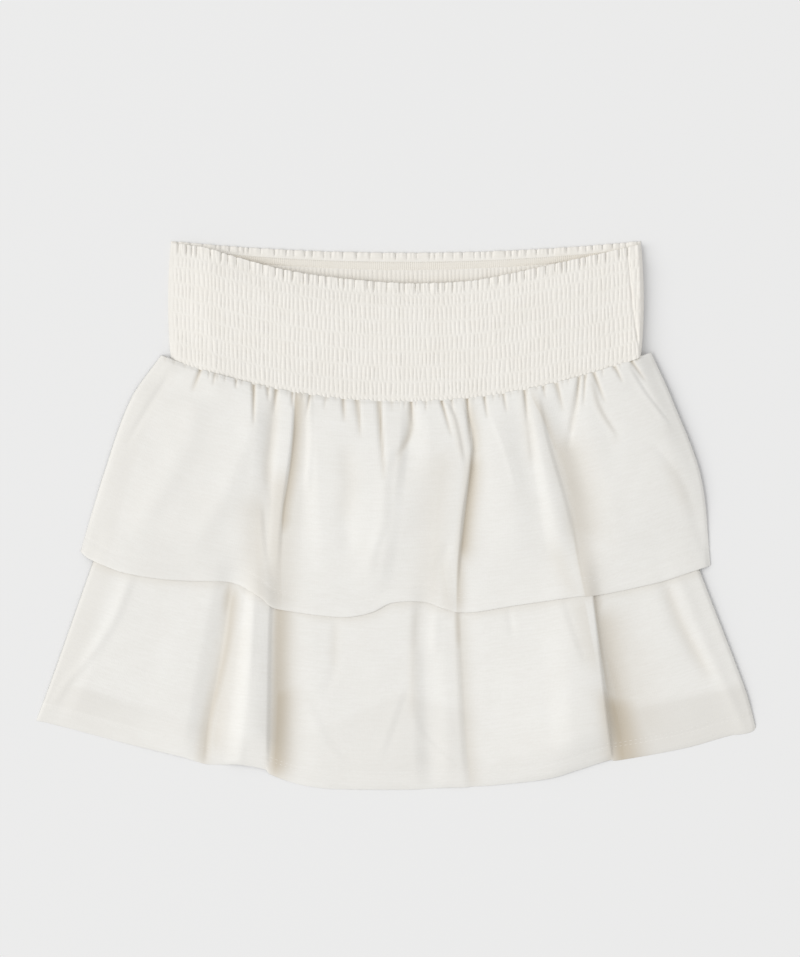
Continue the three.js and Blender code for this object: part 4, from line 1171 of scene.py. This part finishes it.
def back_sheet(lines, stations, hem_y, v):
    """x and y of a flat back tier over rows v: its sides follow those of the front tier above it."""
    u = np.linspace(0, 1, 121)
    sides = []
    for line, inset in ((lines[0], BACK_INSET), (lines[-1], -BACK_INSET)):
        top = seam_y(line[0][0]) - GAP
        share_down = np.clip(v * (top - hem_y(line[0][-1])) / (top - line[2]), 0, 1)
        sides.append(curves(stations, np.array([line[0]], float), *cells(stations, share_down))[0] + inset)
    x = mix(sides[0][:, None], sides[1][:, None], u)
    top_x = mix(lines[0][0][0] + BACK_INSET, lines[-1][0][0] - BACK_INSET, u)
    return x, mix(seam_y(top_x) - GAP, hem_y(x), v[:, None])


def laid(name, x, y, low, thick, table, seed, material):
    """A sheet of cloth lying at height low, with soft ridges that lift it, and a flat underside."""
    lift = np.maximum(0, creases(x, y, table) + drift(x, y, BACK_DRIFT, seed))
    outer = np.stack([x, y, low + thick + lift], axis=2)
    inner = every(np.stack([x, y, low + 0 * x], axis=2), 2)
    return wall(name, outer, inner, material)


def back_upper_hem(x):
    """Height on the sheet of the back upper tier's hem, which curves up towards its sides."""
    return -43 + 25 * (np.abs(x) / 174) ** 1.8


def back_lower_hem(x):
    """The same for the back lower tier."""
    return -145.5 + 35.5 * (np.abs(x) / 198) ** 1.6


x, y = back_sheet(UPPER_LINES, UPPER_STATIONS, back_upper_hem, np.linspace(0, 1, 64))
upper_back = laid("upper_tier_back_cloth", x, y, 0, JERSEY, [], 41, tier_cloth)
place(upper_back, "upper_tier_back")

x, y = back_sheet(lower_lines, LOWER_STATIONS, back_lower_hem, np.linspace(0, 1, 100))
on_upper = ON_UPPER * smooth((y - back_upper_hem(x) + 1) / 6)
lower_back = laid("lower_tier_back_cloth", x, y, on_upper, JERSEY, BACK_CREASES, 43, tier_cloth)
place(lower_back, "lower_tier_back")

# ---- Shorts ----
# A pair of jersey shorts sewn in under the tiers. Each leg has a front and a back, and all four panels are
# hidden; they lie flat between the back tiers and the front ones.

SHORTS_HALF = 123.0
SHORTS_CLOTH = 0.8
SHORTS_SAG = 5.8
HEM_SAG = 2.0
SHORTS_FALL = 1.2  # how much lower they lie below the back upper tier's hem
SHORTS_LEAST = 0.75
CROTCH = (6.6, -46.0)
LEGS = [
    ("left", -1, (-172.0, -92.0), (-21.0, -124.0)),
    ("right", 1, (168.0, -94.0), (30.0, -122.0)),
]
# Each layer's height, and how far it stays under the lower tier.
SHORTS_LAYERS = [("back", 3.05, 2.65), ("front", 4.35, 1.75)]
shorts_cloth = cloth_material("shorts_jersey", JERSEY_PALE, JERSEY_DEEP, 0.0007, 0.0006, 0.82, bump=0.3)


def leg_grid(sign, outer_hem, inner_hem):
    """x and y of one leg's panel from its waist to its hem, and from left to right."""
    v = np.linspace(0, 1, 60)[:, None]
    u = np.linspace(0, 1, 50)
    share = u if sign < 0 else 1 - u
    waist_outer = WAIST_X + sign * SHORTS_HALF
    waist_inner = CROTCH[0] + sign * GAP / 2
    fork_at = (SEAM_LOW_Y - CROTCH[1]) / (SEAM_LOW_Y - inner_hem[1])
    outer_x = mix(waist_outer, outer_hem[0], v)
    outer_y = mix(seam_y(waist_outer) - GAP, outer_hem[1], v)
    inner_x = mix(waist_inner, inner_hem[0], np.clip((v - fork_at) / (1 - fork_at), 0, 1))
    inner_y = mix(seam_y(waist_inner) - GAP, inner_hem[1], v)
    sag = 4 * share * (1 - share) * mix(SHORTS_SAG, HEM_SAG, v)
    return mix(outer_x, inner_x, share), mix(outer_y, inner_y, share) - sag


for leg, sign, outer_hem, inner_hem in LEGS:
    x, y = leg_grid(sign, outer_hem, inner_hem)
    for layer, high, under in SHORTS_LAYERS:
        low = high - SHORTS_FALL * smooth((back_upper_hem(x) - y) / 8)
        low = np.maximum(np.minimum(low, lower_top(x, y) - under), SHORTS_LEAST)
        node = f"shorts_{layer}_{leg}"
        panel = laid(f"{node}_cloth", x, y, low, SHORTS_CLOTH, [], 60 + sign + int(high), shorts_cloth)
        place(panel, node)

# ---- Floor and light ----
# A plain pale surface, an even sky and one broad soft lamp high on the left, so that the folds are shaded
# gently and a faint shadow falls to the right.

FLOOR_HALF = 6.0
FLOOR_GREY = (0.815, 0.815, 0.815, 1)
SKY_STRENGTH = 0.74
LAMP_FROM = (-19.4, -1.6, 16.0)
LAMP_WIDE = 22.0
LAMP_WATTS = 3320
LAMP_COLOUR = (1.0, 0.998, 0.99)

floor_material = bpy.data.materials.new("floor")
floor_material.use_nodes = True
floor_shader = floor_material.node_tree.nodes["Principled BSDF"]
floor_shader.inputs["Base Color"].default_value = FLOOR_GREY
floor_shader.inputs["Roughness"].default_value = 0.95
floor_shader.inputs["Specular IOR Level"].default_value = 0.0
floor_corners = [(a * FLOOR_HALF, b * FLOOR_HALF, 0) for a, b in ((-1, -1), (1, -1), (1, 1), (-1, 1))]
floor_mesh = bpy.data.meshes.new("floor")
floor_mesh.from_pydata(floor_corners, [], [(0, 1, 2, 3)])
floor_mesh.materials.append(floor_material)
floor = bpy.data.objects.new("floor", floor_mesh)
bpy.context.scene.collection.objects.link(floor)
floor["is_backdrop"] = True

world = bpy.data.worlds.new("sky")
bpy.context.scene.world = world
world.use_nodes = True
world.node_tree.nodes["Background"].inputs["Color"].default_value = (1, 1, 1, 1)
world.node_tree.nodes["Background"].inputs["Strength"].default_value = SKY_STRENGTH

lamp_data = bpy.data.lights.new("lamp", "AREA")
lamp_data.shape = "DISK"
lamp_data.size = LAMP_WIDE
lamp_data.energy = LAMP_WATTS
lamp_data.color = LAMP_COLOUR
lamp = bpy.data.objects.new("lamp", lamp_data)
lamp.location = LAMP_FROM
lamp.rotation_euler = (
    math.atan2(math.hypot(LAMP_FROM[0], LAMP_FROM[1]), LAMP_FROM[2]),
    0.0,
    math.atan2(LAMP_FROM[1], LAMP_FROM[0]) + math.pi / 2,
)
bpy.context.scene.collection.objects.link(lamp)
bpy.context.scene.view_settings.view_transform = "Standard"

# ---- Size ----
# The box round all that is shown of the dressed skort is measured.

low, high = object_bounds()
